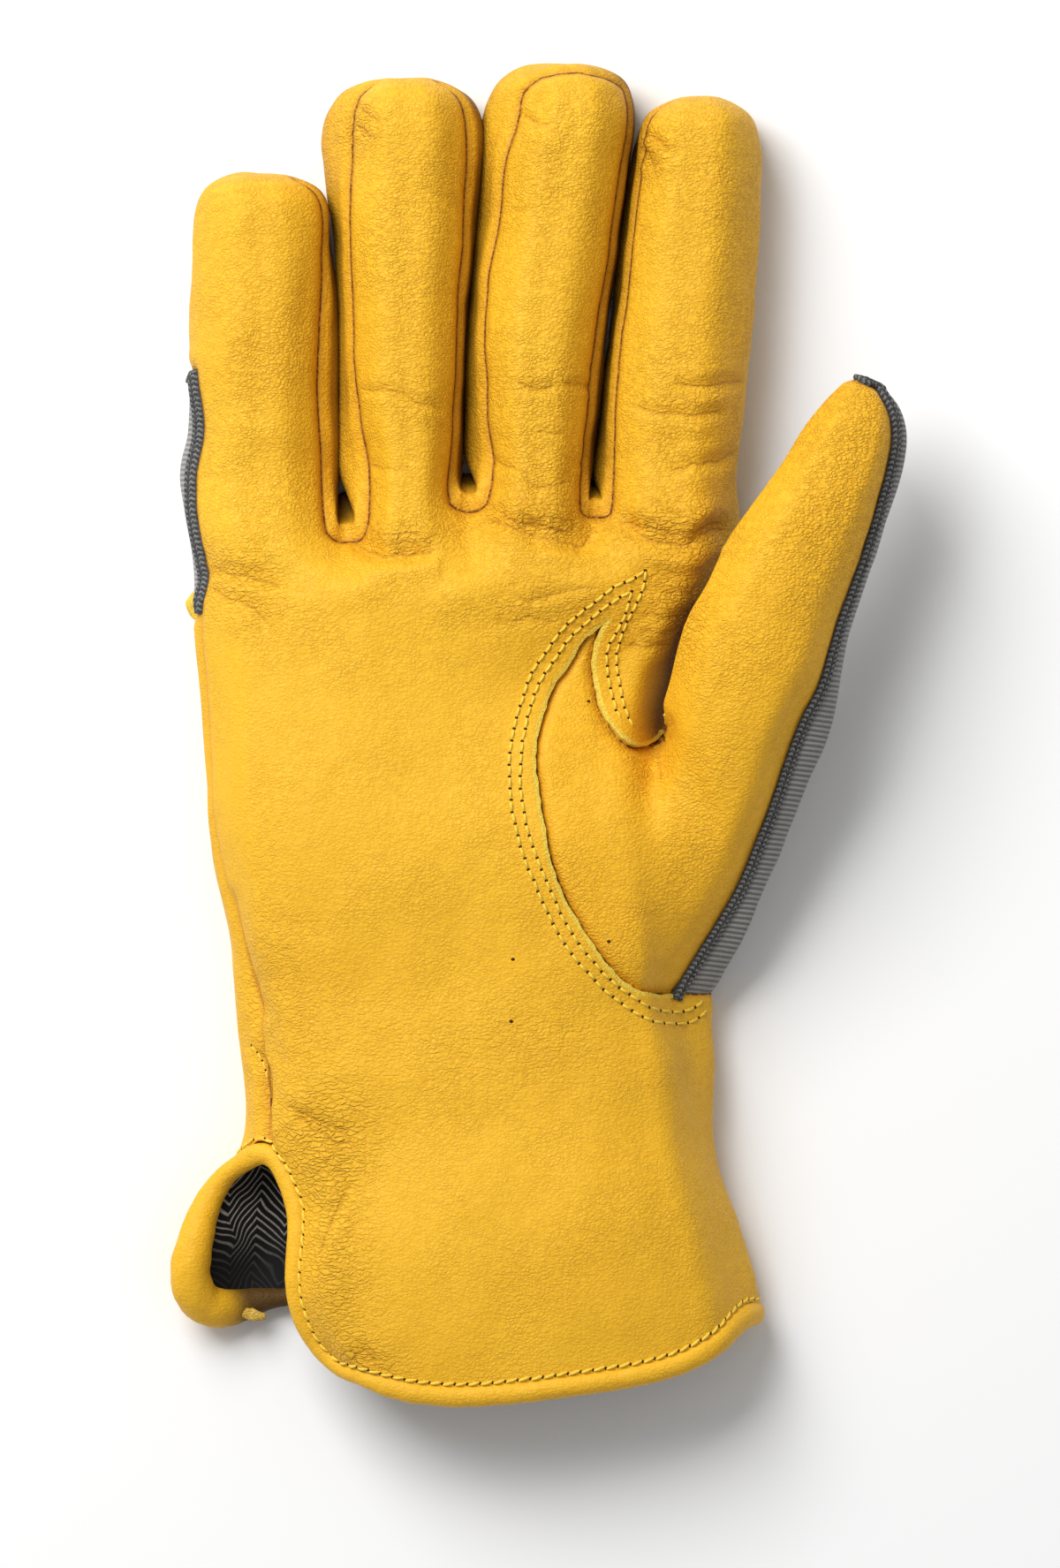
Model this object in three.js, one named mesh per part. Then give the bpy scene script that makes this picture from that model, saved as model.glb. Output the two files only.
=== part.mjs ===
// A right-hand leather work glove that lies on its back with the palm up.
// Millimetres, +Z up, fingers towards +Y, thumb towards +X.
import * as THREE from 'three';

// Driving dimensions
const WALL = 1.3;
const SEAM_GAP = 0.25;
const LINING = 0.7;
const LINING_GAP = 0.35;
const HEM_RADIUS = 2.2;
const VENT_HEM_RADIUS = 3.4;
const HEM_GAP = 0.7;
const HEM_SIDES = 8;
const HEM_STEPS = 68;
const HEM_REST_LIFT = 1.7;
const BACK_INSET = 3;
const FINGER_BACK_INSET = 2.6;
const CROWN_POWER = 2.4;
const BOW_POWER = 4;
const BOW_SKEW = 1.25;
const UPPER_WALL_SHARE = 0.62;
const LOWER_WALL_SHARE = 0.25;
const FINGER_SEAM_SHARE = 0.66;
const FINGER_MIDDLE_SHARE = 0.46;
const WEB_INSET = 0.6;
const WEB_REACH = 0.3;
const EDGE_LIFT_REACH = 0.14;
const EDGE_LIFT_POWER = 1.5;
const THUMB_STEPS = 6;
const THUMB_EDGE_SHARE = 0.45;
const THUMB_SIDE_SHARE = 0.15;
const THUMB_FRONT_START = 0.04;
const THUMB_BACK_START = 0.92;
const TIP_LENGTH = 11;
const TIP_POWER = 2.3;
const TIP_STEPS = [5.5, 2.2, 0.5];
const CAP_BULGE = 0.5;
const CAP_LENGTH = 38;
const SIDE_FABRIC_TOP = 66;
const LINED_ROWS = 6;
const VENT_ROW = 4;
const SIDE_FABRIC_ROW = 14;
const THUMB_LOW_ROW = 6;
const THUMB_HIGH_ROW = 12;
const LAST_COLUMN = 22;

// A point closer than this to an outline counts as lying on it
const OUTLINE_SNAP = 0.05;
// Limits to how far a wall is lengthened at a sharp fold and a gap at a sharp corner
const LEAST_FOLD = 0.7;
const LEAST_MITRE = 0.5;

// One object per row, with the named columns as its keys
function table(columns, rows) {
  return rows.map((row) => Object.fromEntries(columns.map((name, i) => [name, row[i]])));
}

// Cross-sections of the hand from the cuff to the knuckles
const HAND = table(
  [
    'yLeft', 'yRight', 'bow', 'xLeft', 'frontLeft', 'zLeft',
    'frontRight', 'xRight', 'zRight', 'crest', 'lift',
  ],
  [
    [-122.0, -111.3, 9.2, -40.5, -40.5, 17.0, 39.9, 42.7, 13.0, 26.0, 0.0],
    [-112.5, -103.0, 5.6, -45.6, -45.6, 19.0, 38.2, 41.0, 13.5, 28.0, 0.0],
    [-102.0, -92.0, 3.5, -46.6, -46.6, 20.0, 35.6, 37.6, 14.0, 29.0, 0.0],
    [-91.5, -83.0, 2.0, -46.0, -46.0, 19.0, 32.5, 34.5, 14.0, 29.0, 0.0],
    [-80.0, -74.0, 1.0, -57.8, -52.0, 16.0, 30.9, 33.7, 14.0, 28.0, 0.0],
    [-71.0, -63.0, 0.0, -56.2, -52.8, 15.0, 29.8, 34.0, 14.0, 28.0, 0.0],
    [-61.0, -51.0, 0.0, -57.6, -53.5, 15.0, 26.7, 33.8, 14.0, 28.5, 0.0],
    [-51.0, -43.0, 0.0, -58.4, -55.0, 15.0, 25.9, 33.0, 20.0, 29.0, 0.5],
    [-40.5, -34.5, 0.0, -59.6, -58.1, 15.0, 24.9, 32.0, 24.0, 29.5, 1.0],
    [-29.5, -26.0, 0.0, -61.9, -60.7, 15.0, 23.8, 31.0, 26.5, 30.0, 2.0],
    [-19.0, -17.5, 0.0, -63.8, -63.1, 15.5, 23.1, 29.5, 26.5, 30.0, 3.0],
    [-9.0, -9.0, 0.0, -64.3, -63.8, 16.0, 23.0, 28.0, 22.0, 29.5, 4.0],
    [-0.5, -0.5, 0.0, -64.8, -64.3, 16.0, 23.7, 26.9, 12.5, 29.0, 4.5],
    [10.0, 11.0, 0.0, -65.5, -65.0, 16.0, 26.8, 29.2, 11.0, 28.5, 2.5],
    [23.0, 22.0, 0.0, -66.7, -65.6, 16.0, 33.2, 35.6, 11.5, 28.5, 1.0],
    [30.0, 31.0, 0.0, -66.4, -64.1, 15.5, 36.8, 38.5, 12.5, 27.5, 0.0],
    [38.0, 39.5, 0.0, -67.5, -66.2, 15.0, 38.2, 39.3, 13.0, 24.0, 0.0],
  ],
);

// The fold between the hand and the thumb, from the palm side down to the back
const CROTCH = table(
  ['x', 'y', 'z'],
  [
    [26.4, 0.2, 9.5],
    [27.4, 1.5, 7.0],
    [27.0, 2.5, 4.5],
  ],
);

// Left edge of the back flap below the vent, which curls up from the surface
const VENT_FLAP = table(
  ['x', 'y', 'z', 'yRight'],
  [
    [-64.8, -109.0, 6.0, -108.5],
    [-65.0, -102.0, 7.5, -100.5],
    [-63.8, -95.2, 7.0, -91.0],
    [-61.4, -89.2, 5.5, -82.5],
  ],
);

// The line where the fingers begin, one point per key column of the hand
const KNUCKLES = table(
  ['column', 'x', 'y', 'z'],
  [
    [0, -66.2, 38.0, 15.0],
    [2, -53.5, 37.0, 23.5],
    [4, -40.8, 38.5, 17.5],
    [5, -37.4, 37.0, 16.0],
    [6, -33.3, 39.0, 17.5],
    [8, -25.0, 36.0, 24.5],
    [10, -16.5, 44.5, 17.5],
    [11, -13.5, 43.0, 16.0],
    [12, -10.1, 44.5, 17.5],
    [14, -0.5, 37.5, 24.5],
    [16, 8.9, 43.0, 17.5],
    [17, 11.1, 42.0, 16.0],
    [18, 13.7, 42.5, 17.5],
    [20, 26.0, 36.5, 24.0],
    [22, 38.2, 39.5, 13.0],
  ],
);

// Cross-sections of each finger: outer edges and the two front seams
const FINGER_COLUMNS = ['y', 'xLeft', 'seamLeft', 'seamRight', 'xRight'];
const FINGERS = [
  {
    name: 'little',
    column: 0,
    tip: { x: -54.5, y: 108.5 },
    crest: 20.5,
    sections: table(FINGER_COLUMNS, [
      [49.5, -69.6, -67.0, -41.0, -38.9],
      [59.0, -67.9, -64.8, -41.0, -38.9],
      [68.5, -67.7, -66.6, -41.2, -38.9],
      [83.0, -67.4, -66.6, -41.2, -39.0],
      [97.5, -66.8, -66.0, -42.2, -40.6],
    ]),
  },
  {
    name: 'ring',
    column: 6,
    tip: { x: -26.5, y: 127.0 },
    crest: 22.5,
    sections: table(FINGER_COLUMNS, [
      [50.5, -37.7, -33.2, -16.5, -14.9],
      [63.0, -37.9, -34.7, -15.6, -14.6],
      [76.0, -37.9, -36.0, -15.0, -14.3],
      [89.0, -38.3, -36.6, -14.3, -13.0],
      [102.0, -39.3, -36.9, -13.8, -11.6],
      [116.0, -40.9, -36.2, -13.7, -10.7],
    ]),
  },
  {
    name: 'middle',
    column: 12,
    tip: { x: 4.5, y: 130.0 },
    crest: 23.0,
    sections: table(FINGER_COLUMNS, [
      [53.0, -13.0, -9.1, 9.1, 10.6],
      [65.0, -13.2, -10.3, 10.3, 12.1],
      [78.0, -12.7, -10.6, 11.8, 13.2],
      [91.0, -11.7, -9.8, 14.1, 15.1],
      [104.0, -10.5, -7.2, 15.8, 16.7],
      [119.0, -9.7, -4.8, 18.0, 18.9],
    ]),
  },
  {
    name: 'index',
    column: 18,
    tip: { x: 31.0, y: 122.5 },
    crest: 22.5,
    sections: table(FINGER_COLUMNS, [
      [50.0, 11.9, 14.4, 37.5, 38.4],
      [61.0, 13.2, 14.6, 39.2, 40.1],
      [73.0, 14.4, 15.2, 40.3, 41.2],
      [86.0, 16.0, 16.8, 41.3, 42.2],
      [98.5, 17.5, 18.3, 42.2, 43.2],
      [111.5, 19.3, 20.0, 42.3, 43.4],
    ]),
  },
];

// Cross-sections of the thumb from its root to its tip. Left is the crotch side, and
// under is the way from there to the lower edge of that side.
const THUMB = table(
  ['xLeft', 'yLeft', 'zLeft', 'xUnder', 'yUnder', 'xRight', 'yRight', 'zRight', 'edge', 'half'],
  [
    [24.6, 4.2, 18.0, 4.9, -1.5, 39.3, -41.0, 12.0, 7.5, 12.0],
    [25.4, 8.0, 21.5, 5.1, -1.5, 44.0, -29.5, 15.0, 5.8, 12.5],
    [27.6, 17.5, 25.5, 3.9, -1.5, 50.7, -13.0, 20.0, 5.5, 12.5],
    [30.3, 24.0, 27.0, 3.5, -1.5, 55.7, -1.0, 23.0, 5.8, 12.5],
    [32.9, 28.5, 28.0, 2.5, -2.1, 57.6, 7.0, 24.0, 3.7, 12.5],
    [36.5, 36.5, 28.0, 2.4, -1.5, 60.7, 21.0, 24.5, 2.4, 12.0],
    [41.3, 43.5, 27.5, 2.3, -1.2, 64.4, 32.0, 24.5, 2.0, 11.5],
    [46.4, 50.5, 26.5, 2.1, -0.8, 67.7, 42.5, 24.5, 2.1, 11.0],
    [50.7, 57.0, 25.5, 1.9, -0.8, 70.1, 49.5, 24.5, 2.4, 10.0],
    [54.2, 62.0, 25.0, 1.7, -0.6, 71.3, 56.0, 24.5, 2.3, 8.5],
    [57.6, 66.0, 24.8, 1.2, -0.4, 69.9, 62.0, 24.5, 2.0, 6.0],
    [61.0, 68.6, 24.6, 0.8, -0.3, 66.9, 66.2, 24.5, 1.5, 3.5],
  ],
);

// Outline of the thumb leather on the palm: the wing seam and the pointed tongue
const WING = table(
  ['x', 'y'],
  [
    [23.7, -0.5],
    [18.2, -0.5],
    [15.1, 3.0],
    [13.0, 7.5],
    [12.2, 12.5],
    [12.9, 17.5],
    [18.5, 27.5],
    [13.9, 23.5],
    [7.9, 18.5],
    [3.9, 11.5],
    [0.9, 3.0],
    [-1.0, -5.5],
    [-1.4, -14.0],
    [-0.2, -23.5],
    [2.7, -33.0],
    [7.9, -42.5],
    [14.7, -48.5],
    [21.6, -51.0],
    [26.7, -51.0],
    [60.0, -51.0],
    [60.0, -0.5],
  ],
);

// Top edge of the leather lower back, from the little-finger side to the thumb root
const BACK_SEAM = table(
  ['x', 'y'],
  [
    [-80.0, 23.5],
    [-63.7, 23.0],
    [-40.0, 14.0],
    [-10.0, -14.0],
    [15.0, -42.0],
    [30.8, -51.0],
    [60.0, -51.0],
    [60.0, -200.0],
    [-80.0, -200.0],
  ],
);

// Broad dents of the palm side
const DENTS = table(
  ['x', 'y', 'xReach', 'yReach', 'depth'],
  [
    [11.0, 14.0, 15.0, 11.0, 5.0],
    [-12.0, 6.0, 20.0, 20.0, 2.0],
    [-40.0, -84.0, 16.0, 7.0, 2.5],
    [-30.0, -48.0, 26.0, 16.0, 1.5],
    [24.0, 52.0, 14.0, 3.5, 1.6],
    [26.0, 66.0, 15.0, 3.0, 1.2],
    [0.0, 52.0, 12.0, 3.0, 1.2],
    [2.0, 67.0, 13.0, 3.0, 1.2],
    [-26.0, 64.0, 12.0, 3.0, 1.0],
  ],
);

// Surface of the glove: shared points, and quads that belong to panels
const points = [];
const quads = [];

function addPoint(x, y, z) {
  points.push(new THREE.Vector3(x, y, z));
  return points.length - 1;
}

function addQuad(corners, panel, row) {
  quads.push({ corners, panel, row });
}

function mix(a, b, share) {
  return a + (b - a) * share;
}

function crown(across) {
  return Math.pow(1 - Math.pow(Math.abs(2 * across - 1), CROWN_POWER), 1 / CROWN_POWER);
}

function dentDepth(x, y) {
  return DENTS.reduce((depth, dent) => {
    const reach = ((x - dent.x) / dent.xReach) ** 2 + ((y - dent.y) / dent.yReach) ** 2;
    return depth + dent.depth * Math.exp(-reach);
  }, 0);
}

function knuckleAt(column) {
  const next = KNUCKLES.findIndex((key) => key.column >= column);
  const high = KNUCKLES[next];
  const low = KNUCKLES[Math.max(next - 1, 0)];
  const share = high === low ? 0 : (column - low.column) / (high.column - low.column);
  const onFinger = high.column - low.column === 2;
  const rise = onFinger ? crown((high.z > low.z ? share : 1 + share) / 2) : share;
  const bottom = onFinger ? Math.min(low.z, high.z) : low.z;
  const top = onFinger ? Math.max(low.z, high.z) : high.z;
  return { x: mix(low.x, high.x, share), y: mix(low.y, high.y, share), z: mix(bottom, top, rise) };
}

function acrossAt(column) {
  const first = KNUCKLES[0].x;
  const last = KNUCKLES[KNUCKLES.length - 1].x;
  return (knuckleAt(column).x - first) / (last - first);
}

// The lift of the back near one edge of the hand, fading inwards
function edgeLift(height, away) {
  return height * Math.max(0, 1 - away / EDGE_LIFT_REACH) ** EDGE_LIFT_POWER;
}

// The hand: one closed loop of points per section, front, index side, back, little side
function handLoop(row) {
  const section = HAND[row];
  const flap = VENT_FLAP[row];
  const isKnuckles = row === HAND.length - 1;
  const front = [];
  const back = [];
  for (let column = 0; column <= LAST_COLUMN; column += 1) {
    const across = acrossAt(column);
    const knuckle = knuckleAt(column);
    const x = mix(section.frontLeft, section.frontRight, across);
    const bow = section.bow * (1 - Math.abs(2 * across ** BOW_SKEW - 1) ** BOW_POWER);
    const y = isKnuckles ? knuckle.y : mix(section.yLeft, section.yRight, across) - bow;
    const base = mix(section.zLeft, section.zRight, across);
    const crest = Math.max(section.crest, base);
    const surface = mix(base, crest, crown(across)) - dentDepth(x, y) * crown(across);
    front.push(addPoint(x, y, isKnuckles ? knuckle.z : surface));
    const backLeft = flap ? flap.x : section.xLeft + BACK_INSET;
    const backX = isKnuckles ? knuckle.x : mix(backLeft, section.xRight - BACK_INSET, across);
    const backLow = flap ? flap.y : section.yLeft;
    const backHigh = flap ? flap.yRight : section.yRight;
    const backY = isKnuckles ? knuckle.y : mix(backLow, backHigh, across);
    const curl = edgeLift(flap ? flap.z : 0, across);
    const lift = edgeLift(section.lift, 1 - across);
    back.push(addPoint(backX, backY, Math.max(curl, lift, row === 0 ? HEM_REST_LIFT : 0)));
  }
  const rightWall = [UPPER_WALL_SHARE, LOWER_WALL_SHARE].map(
    (share) => addPoint(section.xRight, section.yRight, mix(section.lift, section.zRight, share)),
  );
  const leftWall = [LOWER_WALL_SHARE, UPPER_WALL_SHARE].map(
    (share) => addPoint(section.xLeft, section.yLeft, section.zLeft * share),
  );
  if (row === THUMB_HIGH_ROW) {
    [...rightWall, back[LAST_COLUMN]].forEach((corner, order) => points[corner].copy(CROTCH[order]));
  }
  const all = [...front, ...rightWall, ...back.slice().reverse(), ...leftWall];
  return { front, rightWall, back, leftWall, all };
}

function handPanel(row, side) {
  if (side < LAST_COLUMN) {
    return 'palm_front';
  }
  if (side < LAST_COLUMN + 3) {
    return 'palm_panel';
  }
  if (side < 2 * LAST_COLUMN + 3) {
    return 'hand_back';
  }
  return row >= SIDE_FABRIC_ROW ? 'back_fabric' : 'back_cuff';
}

function buildHand() {
  const loops = HAND.map((section, row) => handLoop(row));
  for (let row = 0; row + 1 < loops.length; row += 1) {
    const low = loops[row].all;
    const high = loops[row + 1].all;
    for (let side = 0; side < low.length; side += 1) {
      const isRightWall = side >= LAST_COLUMN && side < LAST_COLUMN + 3;
      const isLeftWall = side >= 2 * LAST_COLUMN + 3;
      const isThumbRoot = isRightWall && row >= THUMB_LOW_ROW && row < THUMB_HIGH_ROW;
      const isVent = isLeftWall && row < VENT_ROW;
      const next = (side + 1) % low.length;
      if (!isThumbRoot && !isVent) {
        addQuad([low[side], low[next], high[next], high[side]], handPanel(row, side), row);
      }
    }
  }
  return loops;
}

// The web between two fingers: three columns of two points, front to back
function buildWeb(knuckles, column, panel) {
  const columns = [column, column + 1, column + 2].map((place, order) => {
    const front = points[knuckles.front[place]];
    const x = front.x + WEB_INSET * (1 - order);
    const upper = addPoint(x, front.y + WEB_REACH, front.z * UPPER_WALL_SHARE);
    const lower = addPoint(x, front.y + WEB_REACH, front.z * LOWER_WALL_SHARE);
    return [knuckles.front[place], upper, lower, knuckles.back[place]];
  });
  for (let order = 0; order < 2; order += 1) {
    for (let level = 0; level < 3; level += 1) {
      const left = columns[order];
      const right = columns[order + 1];
      addQuad([left[level], right[level], right[level + 1], left[level + 1]], panel);
    }
  }
  return { leftFinger: columns[0].slice(1, 3), rightFinger: columns[2].slice(1, 3) };
}

// Four rows of cap points close a tube whose loop is front, side, back, side
function closeTip(loop, acrossCount, tip, panel) {
  const front = loop.slice(0, acrossCount + 1);
  const rightWall = loop.slice(acrossCount + 1, acrossCount + 3);
  const back = loop.slice(acrossCount + 3, 2 * acrossCount + 4).reverse();
  const leftWall = loop.slice(2 * acrossCount + 4).reverse();
  const rows = [front];
  for (let level = 0; level < 2; level += 1) {
    const row = [leftWall[level]];
    for (let column = 1; column < acrossCount; column += 1) {
      const across = column / acrossCount;
      const side = points[leftWall[level]].clone().lerp(points[rightWall[level]], across);
      const face = points[front[column]].clone().lerp(points[back[column]], (level + 1) / 3);
      const middle = side.lerp(face, 0.5).addScaledVector(tip, CAP_BULGE);
      row.push(addPoint(middle.x, middle.y, middle.z));
    }
    row.push(rightWall[level]);
    rows.push(row);
  }
  rows.push(back);
  for (let level = 0; level < 3; level += 1) {
    for (let column = 0; column < acrossCount; column += 1) {
      const high = rows[level];
      const low = rows[level + 1];
      addQuad([high[column], high[column + 1], low[column + 1], low[column]], panel);
    }
  }
}

// How wide a finger still is at some distance from its tip
function tipFactor(distance) {
  const away = Math.max(0, 1 - distance / TIP_LENGTH);
  return Math.pow(1 - Math.pow(away, TIP_POWER), 1 / TIP_POWER);
}

function fingerLoop(finger, section, factor) {
  const seamHeight = FINGER_SEAM_SHARE * finger.crest;
  const middleHeight = FINGER_MIDDLE_SHARE * finger.crest;
  const middle = (section.xLeft + section.xRight) / 2;
  const centre = mix(finger.tip.x, middle, factor);
  const place = (x, z) => {
    const height = middleHeight + (z - middleHeight) * factor;
    return addPoint(centre + (x - middle) * factor, section.y, height);
  };
  const shares = [0, 0.25, 0.5, 0.75, 1];
  const front = shares.map((across) => {
    const x = mix(section.seamLeft, section.seamRight, across);
    const dent = dentDepth(x, section.y) * crown(across);
    return place(x, mix(seamHeight, finger.crest, crown(across)) - dent);
  });
  const walls = (x, levels) => levels.map((share) => place(x, seamHeight * share));
  const rightWall = walls(section.xRight, [UPPER_WALL_SHARE, LOWER_WALL_SHARE]);
  const left = section.xLeft + FINGER_BACK_INSET;
  const right = section.xRight - FINGER_BACK_INSET;
  const back = shares.map((across) => place(mix(right, left, across), 0));
  const leftWall = walls(section.xLeft, [LOWER_WALL_SHARE, UPPER_WALL_SHARE]);
  return [...front, ...rightWall, ...back, ...leftWall];
}

// Sides of a finger loop: four of the front, three right, four of the back, three left
function fingerPanel(finger, side, y, isTip, webs) {
  const cap = `fingertip_cap_${finger.name}`;
  const outerSide = y > SIDE_FABRIC_TOP ? 'palm_panel' : 'back_fabric';
  if (side < 4) {
    return 'palm_panel';
  }
  if (side < 7) {
    return webs.right && isTip ? cap : webs.right || 'palm_panel';
  }
  if (side < 11) {
    return y > finger.tip.y - CAP_LENGTH ? cap : 'back_fabric';
  }
  return webs.left && isTip ? cap : webs.left || outerSide;
}

function buildFinger(finger, knuckles, walls, webs) {
  const first = finger.column;
  const span = knuckles.front.slice(first, first + 5);
  const under = knuckles.back.slice(first, first + 5).reverse();
  let low = [...span, ...walls.right, ...under, ...walls.left.slice().reverse()];
  const last = finger.sections[finger.sections.length - 1];
  const tipSections = TIP_STEPS.map((distance) => ({
    section: { ...last, y: finger.tip.y - distance },
    factor: tipFactor(distance),
  }));
  const steps = [...finger.sections.map((section) => ({ section, factor: 1 })), ...tipSections];
  let lowY = HAND[HAND.length - 1].yLeft;
  steps.forEach(({ section, factor }, order) => {
    const high = fingerLoop(finger, section, factor);
    const isTip = order >= steps.length - 2;
    for (let side = 0; side < high.length; side += 1) {
      const next = (side + 1) % high.length;
      const panel = fingerPanel(finger, side, lowY + 1, isTip, webs);
      addQuad([low[side], low[next], high[next], high[side]], panel);
    }
    low = high;
    lowY = section.y;
  });
  closeTip(low, 4, new THREE.Vector3(0, 1, 0), `fingertip_cap_${finger.name}`);
}

function buildFingers(knuckles) {
  const webNames = ['fourchette_little_ring', 'fourchette_ring_middle', 'fourchette_middle_index'];
  const webs = webNames.map((name, order) => buildWeb(knuckles, FINGERS[order].column + 4, name));
  FINGERS.forEach((finger, order) => {
    const leftWeb = webs[order - 1];
    const rightWeb = webs[order];
    const walls = {
      left: leftWeb ? leftWeb.rightFinger : knuckles.leftWall.slice().reverse(),
      right: rightWeb ? rightWeb.leftFinger : knuckles.rightWall,
    };
    buildFinger(finger, knuckles, walls, { left: webNames[order - 1], right: webNames[order] });
  });
}

function thumbLoop(section) {
  const left = new THREE.Vector3(section.xLeft, section.yLeft, section.zLeft);
  const right = new THREE.Vector3(section.xRight, section.yRight, section.zRight);
  const under = new THREE.Vector3(section.xUnder, section.yUnder, 0);
  const width = Math.hypot(right.x - left.x, right.y - left.y);
  const edgeRise = THUMB_EDGE_SHARE * section.half;
  const sideRise = THUMB_SIDE_SHARE * section.half;
  const frontStart = left.clone().lerp(right, THUMB_FRONT_START);
  const frontEnd = left.clone().lerp(right, 1 - section.edge / width);
  const backStart = left.clone().lerp(right, THUMB_BACK_START);
  const backEnd = left.clone().add(under);
  const place = (from, to, along, rise) => {
    const spot = from.clone().lerp(to, along);
    return addPoint(spot.x, spot.y, spot.z + rise);
  };
  const shares = Array.from({ length: THUMB_STEPS + 1 }, (unused, order) => order / THUMB_STEPS);
  const rise = (across) => mix(edgeRise, section.half, crown(across));
  const front = shares.map((across) => place(frontStart, frontEnd, across, rise(across)));
  const outerWall = [sideRise, -sideRise].map((height) => place(right, right, 0, height));
  const back = shares.map((across) => place(backStart, backEnd, across, -rise(across)));
  const innerWall = [place(left, backEnd, 0.5, -sideRise), place(left, left, 0, sideRise)];
  return [...front, ...outerWall, ...back, ...innerWall];
}

function buildThumb(loops) {
  const rows = loops.slice(THUMB_LOW_ROW, THUMB_HIGH_ROW + 1).reverse();
  const low = loops[THUMB_LOW_ROW];
  const high = loops[THUMB_HIGH_ROW];
  let ring = [
    ...rows.map((loop) => loop.front[LAST_COLUMN]),
    ...low.rightWall,
    ...rows.slice().reverse().map((loop) => loop.back[LAST_COLUMN]),
    ...high.rightWall.slice().reverse(),
  ];
  THUMB.forEach((section, order) => {
    const next = thumbLoop(section);
    for (let side = 0; side < next.length; side += 1) {
      const after = (side + 1) % next.length;
      const isFabric = side >= THUMB_STEPS && side < 2 * THUMB_STEPS + 3;
      const leather = order === 0 && (side === 15 || side === 16) ? 'palm_panel' : 'thumb_front';
      addQuad([ring[side], ring[after], next[after], next[side]], isFabric ? 'thumb_back' : leather);
    }
    ring = next;
  });
  closeTip(ring, THUMB_STEPS, new THREE.Vector3(0.2, 0.8, 0), 'thumb_back');
}

// Signed distance to a closed outline, positive inside
function outlineField(outline, x, y) {
  let inside = false;
  let nearest = Infinity;
  outline.forEach((start, order) => {
    const end = outline[(order + 1) % outline.length];
    const dx = end.x - start.x;
    const dy = end.y - start.y;
    const ahead = ((x - start.x) * dx + (y - start.y) * dy) / (dx * dx + dy * dy);
    const share = THREE.MathUtils.clamp(ahead, 0, 1);
    nearest = Math.min(nearest, Math.hypot(x - start.x - share * dx, y - start.y - share * dy));
    const crosses = start.y > y !== end.y > y;
    if (crosses && x < start.x + ((y - start.y) / dy) * dx) {
      inside = !inside;
    }
  });
  return inside ? nearest : -nearest;
}

// Moves points onto an outline where it crosses the quads of a panel, then splits those quads
function splitPanel(panel, outline, insidePanel, outsidePanel) {
  const field = new Map();
  const mine = quads.filter((quad) => quad.panel === panel);
  mine.forEach((quad) => quad.corners.forEach((corner) => {
    const value = outlineField(outline, points[corner].x, points[corner].y);
    field.set(corner, Math.abs(value) < OUTLINE_SNAP ? 0 : value);
  }));
  mine.forEach(({ corners }) => corners.forEach((start, order) => {
    const end = corners[(order + 1) % 4];
    const from = field.get(start);
    const to = field.get(end);
    if (from * to < 0) {
      const share = from / (from - to);
      const moved = share < 0.5 ? start : end;
      points[moved].lerpVectors(points[start].clone(), points[end].clone(), share);
      field.set(moved, 0);
    }
  }));
  mine.forEach((quad) => {
    const values = quad.corners.map((corner) => field.get(corner));
    const low = Math.min(...values);
    const high = Math.max(...values);
    if (low < 0 && high > 0) {
      const turn = values[0] === 0 && values[2] === 0 ? 0 : 1;
      const corners = quad.corners.map((corner, order) => quad.corners[(order + turn) % 4]);
      const side = field.get(corners[1]) > 0 ? insidePanel : outsidePanel;
      const other = field.get(corners[1]) > 0 ? outsidePanel : insidePanel;
      quad.corners = [corners[0], corners[1], corners[2]];
      quad.panel = side;
      quads.push({ corners: [corners[0], corners[2], corners[3]], panel: other, row: quad.row });
    } else {
      quad.panel = high > 0 ? insidePanel : outsidePanel;
    }
  });
}

function trianglesOf(faces) {
  return faces.flatMap(({ corners }) => {
    if (corners.length === 3) {
      return [corners];
    }
    const [a, b, c, d] = corners;
    const first = points[a].distanceTo(points[c]);
    const second = points[b].distanceTo(points[d]);
    return first <= second ? [[a, b, c], [a, c, d]] : [[a, b, d], [b, c, d]];
  });
}

function faceNormal([a, b, c]) {
  const edge = points[b].clone().sub(points[a]);
  return edge.cross(points[c].clone().sub(points[a]));
}

// Shared normals, lengthened at folds so that a wall keeps its thickness
function depthVectors() {
  const triangles = trianglesOf(quads);
  const normals = points.map(() => new THREE.Vector3());
  triangles.forEach((triangle) => {
    const normal = faceNormal(triangle).normalize();
    triangle.forEach((corner, order) => {
      const before = points[triangle[(order + 2) % 3]].clone().sub(points[corner]);
      const after = points[triangle[(order + 1) % 3]].clone().sub(points[corner]);
      normals[corner].addScaledVector(normal, before.angleTo(after));
    });
  });
  normals.forEach((normal) => normal.normalize());
  const smallest = points.map(() => 1);
  triangles.forEach((triangle) => {
    const normal = faceNormal(triangle).normalize();
    triangle.forEach((corner) => {
      smallest[corner] = Math.min(smallest[corner], normal.dot(normals[corner]));
    });
  });
  return normals.map((normal, order) => normal.divideScalar(Math.max(smallest[order], LEAST_FOLD)));
}

function boundaryEdges(triangles) {
  const edges = new Map();
  triangles.forEach((triangle) => triangle.forEach((start, order) => {
    const end = triangle[(order + 1) % 3];
    edges.set(`${start},${end}`, [start, end]);
  }));
  return [...edges.values()].filter(([start, end]) => !edges.has(`${end},${start}`));
}

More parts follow.
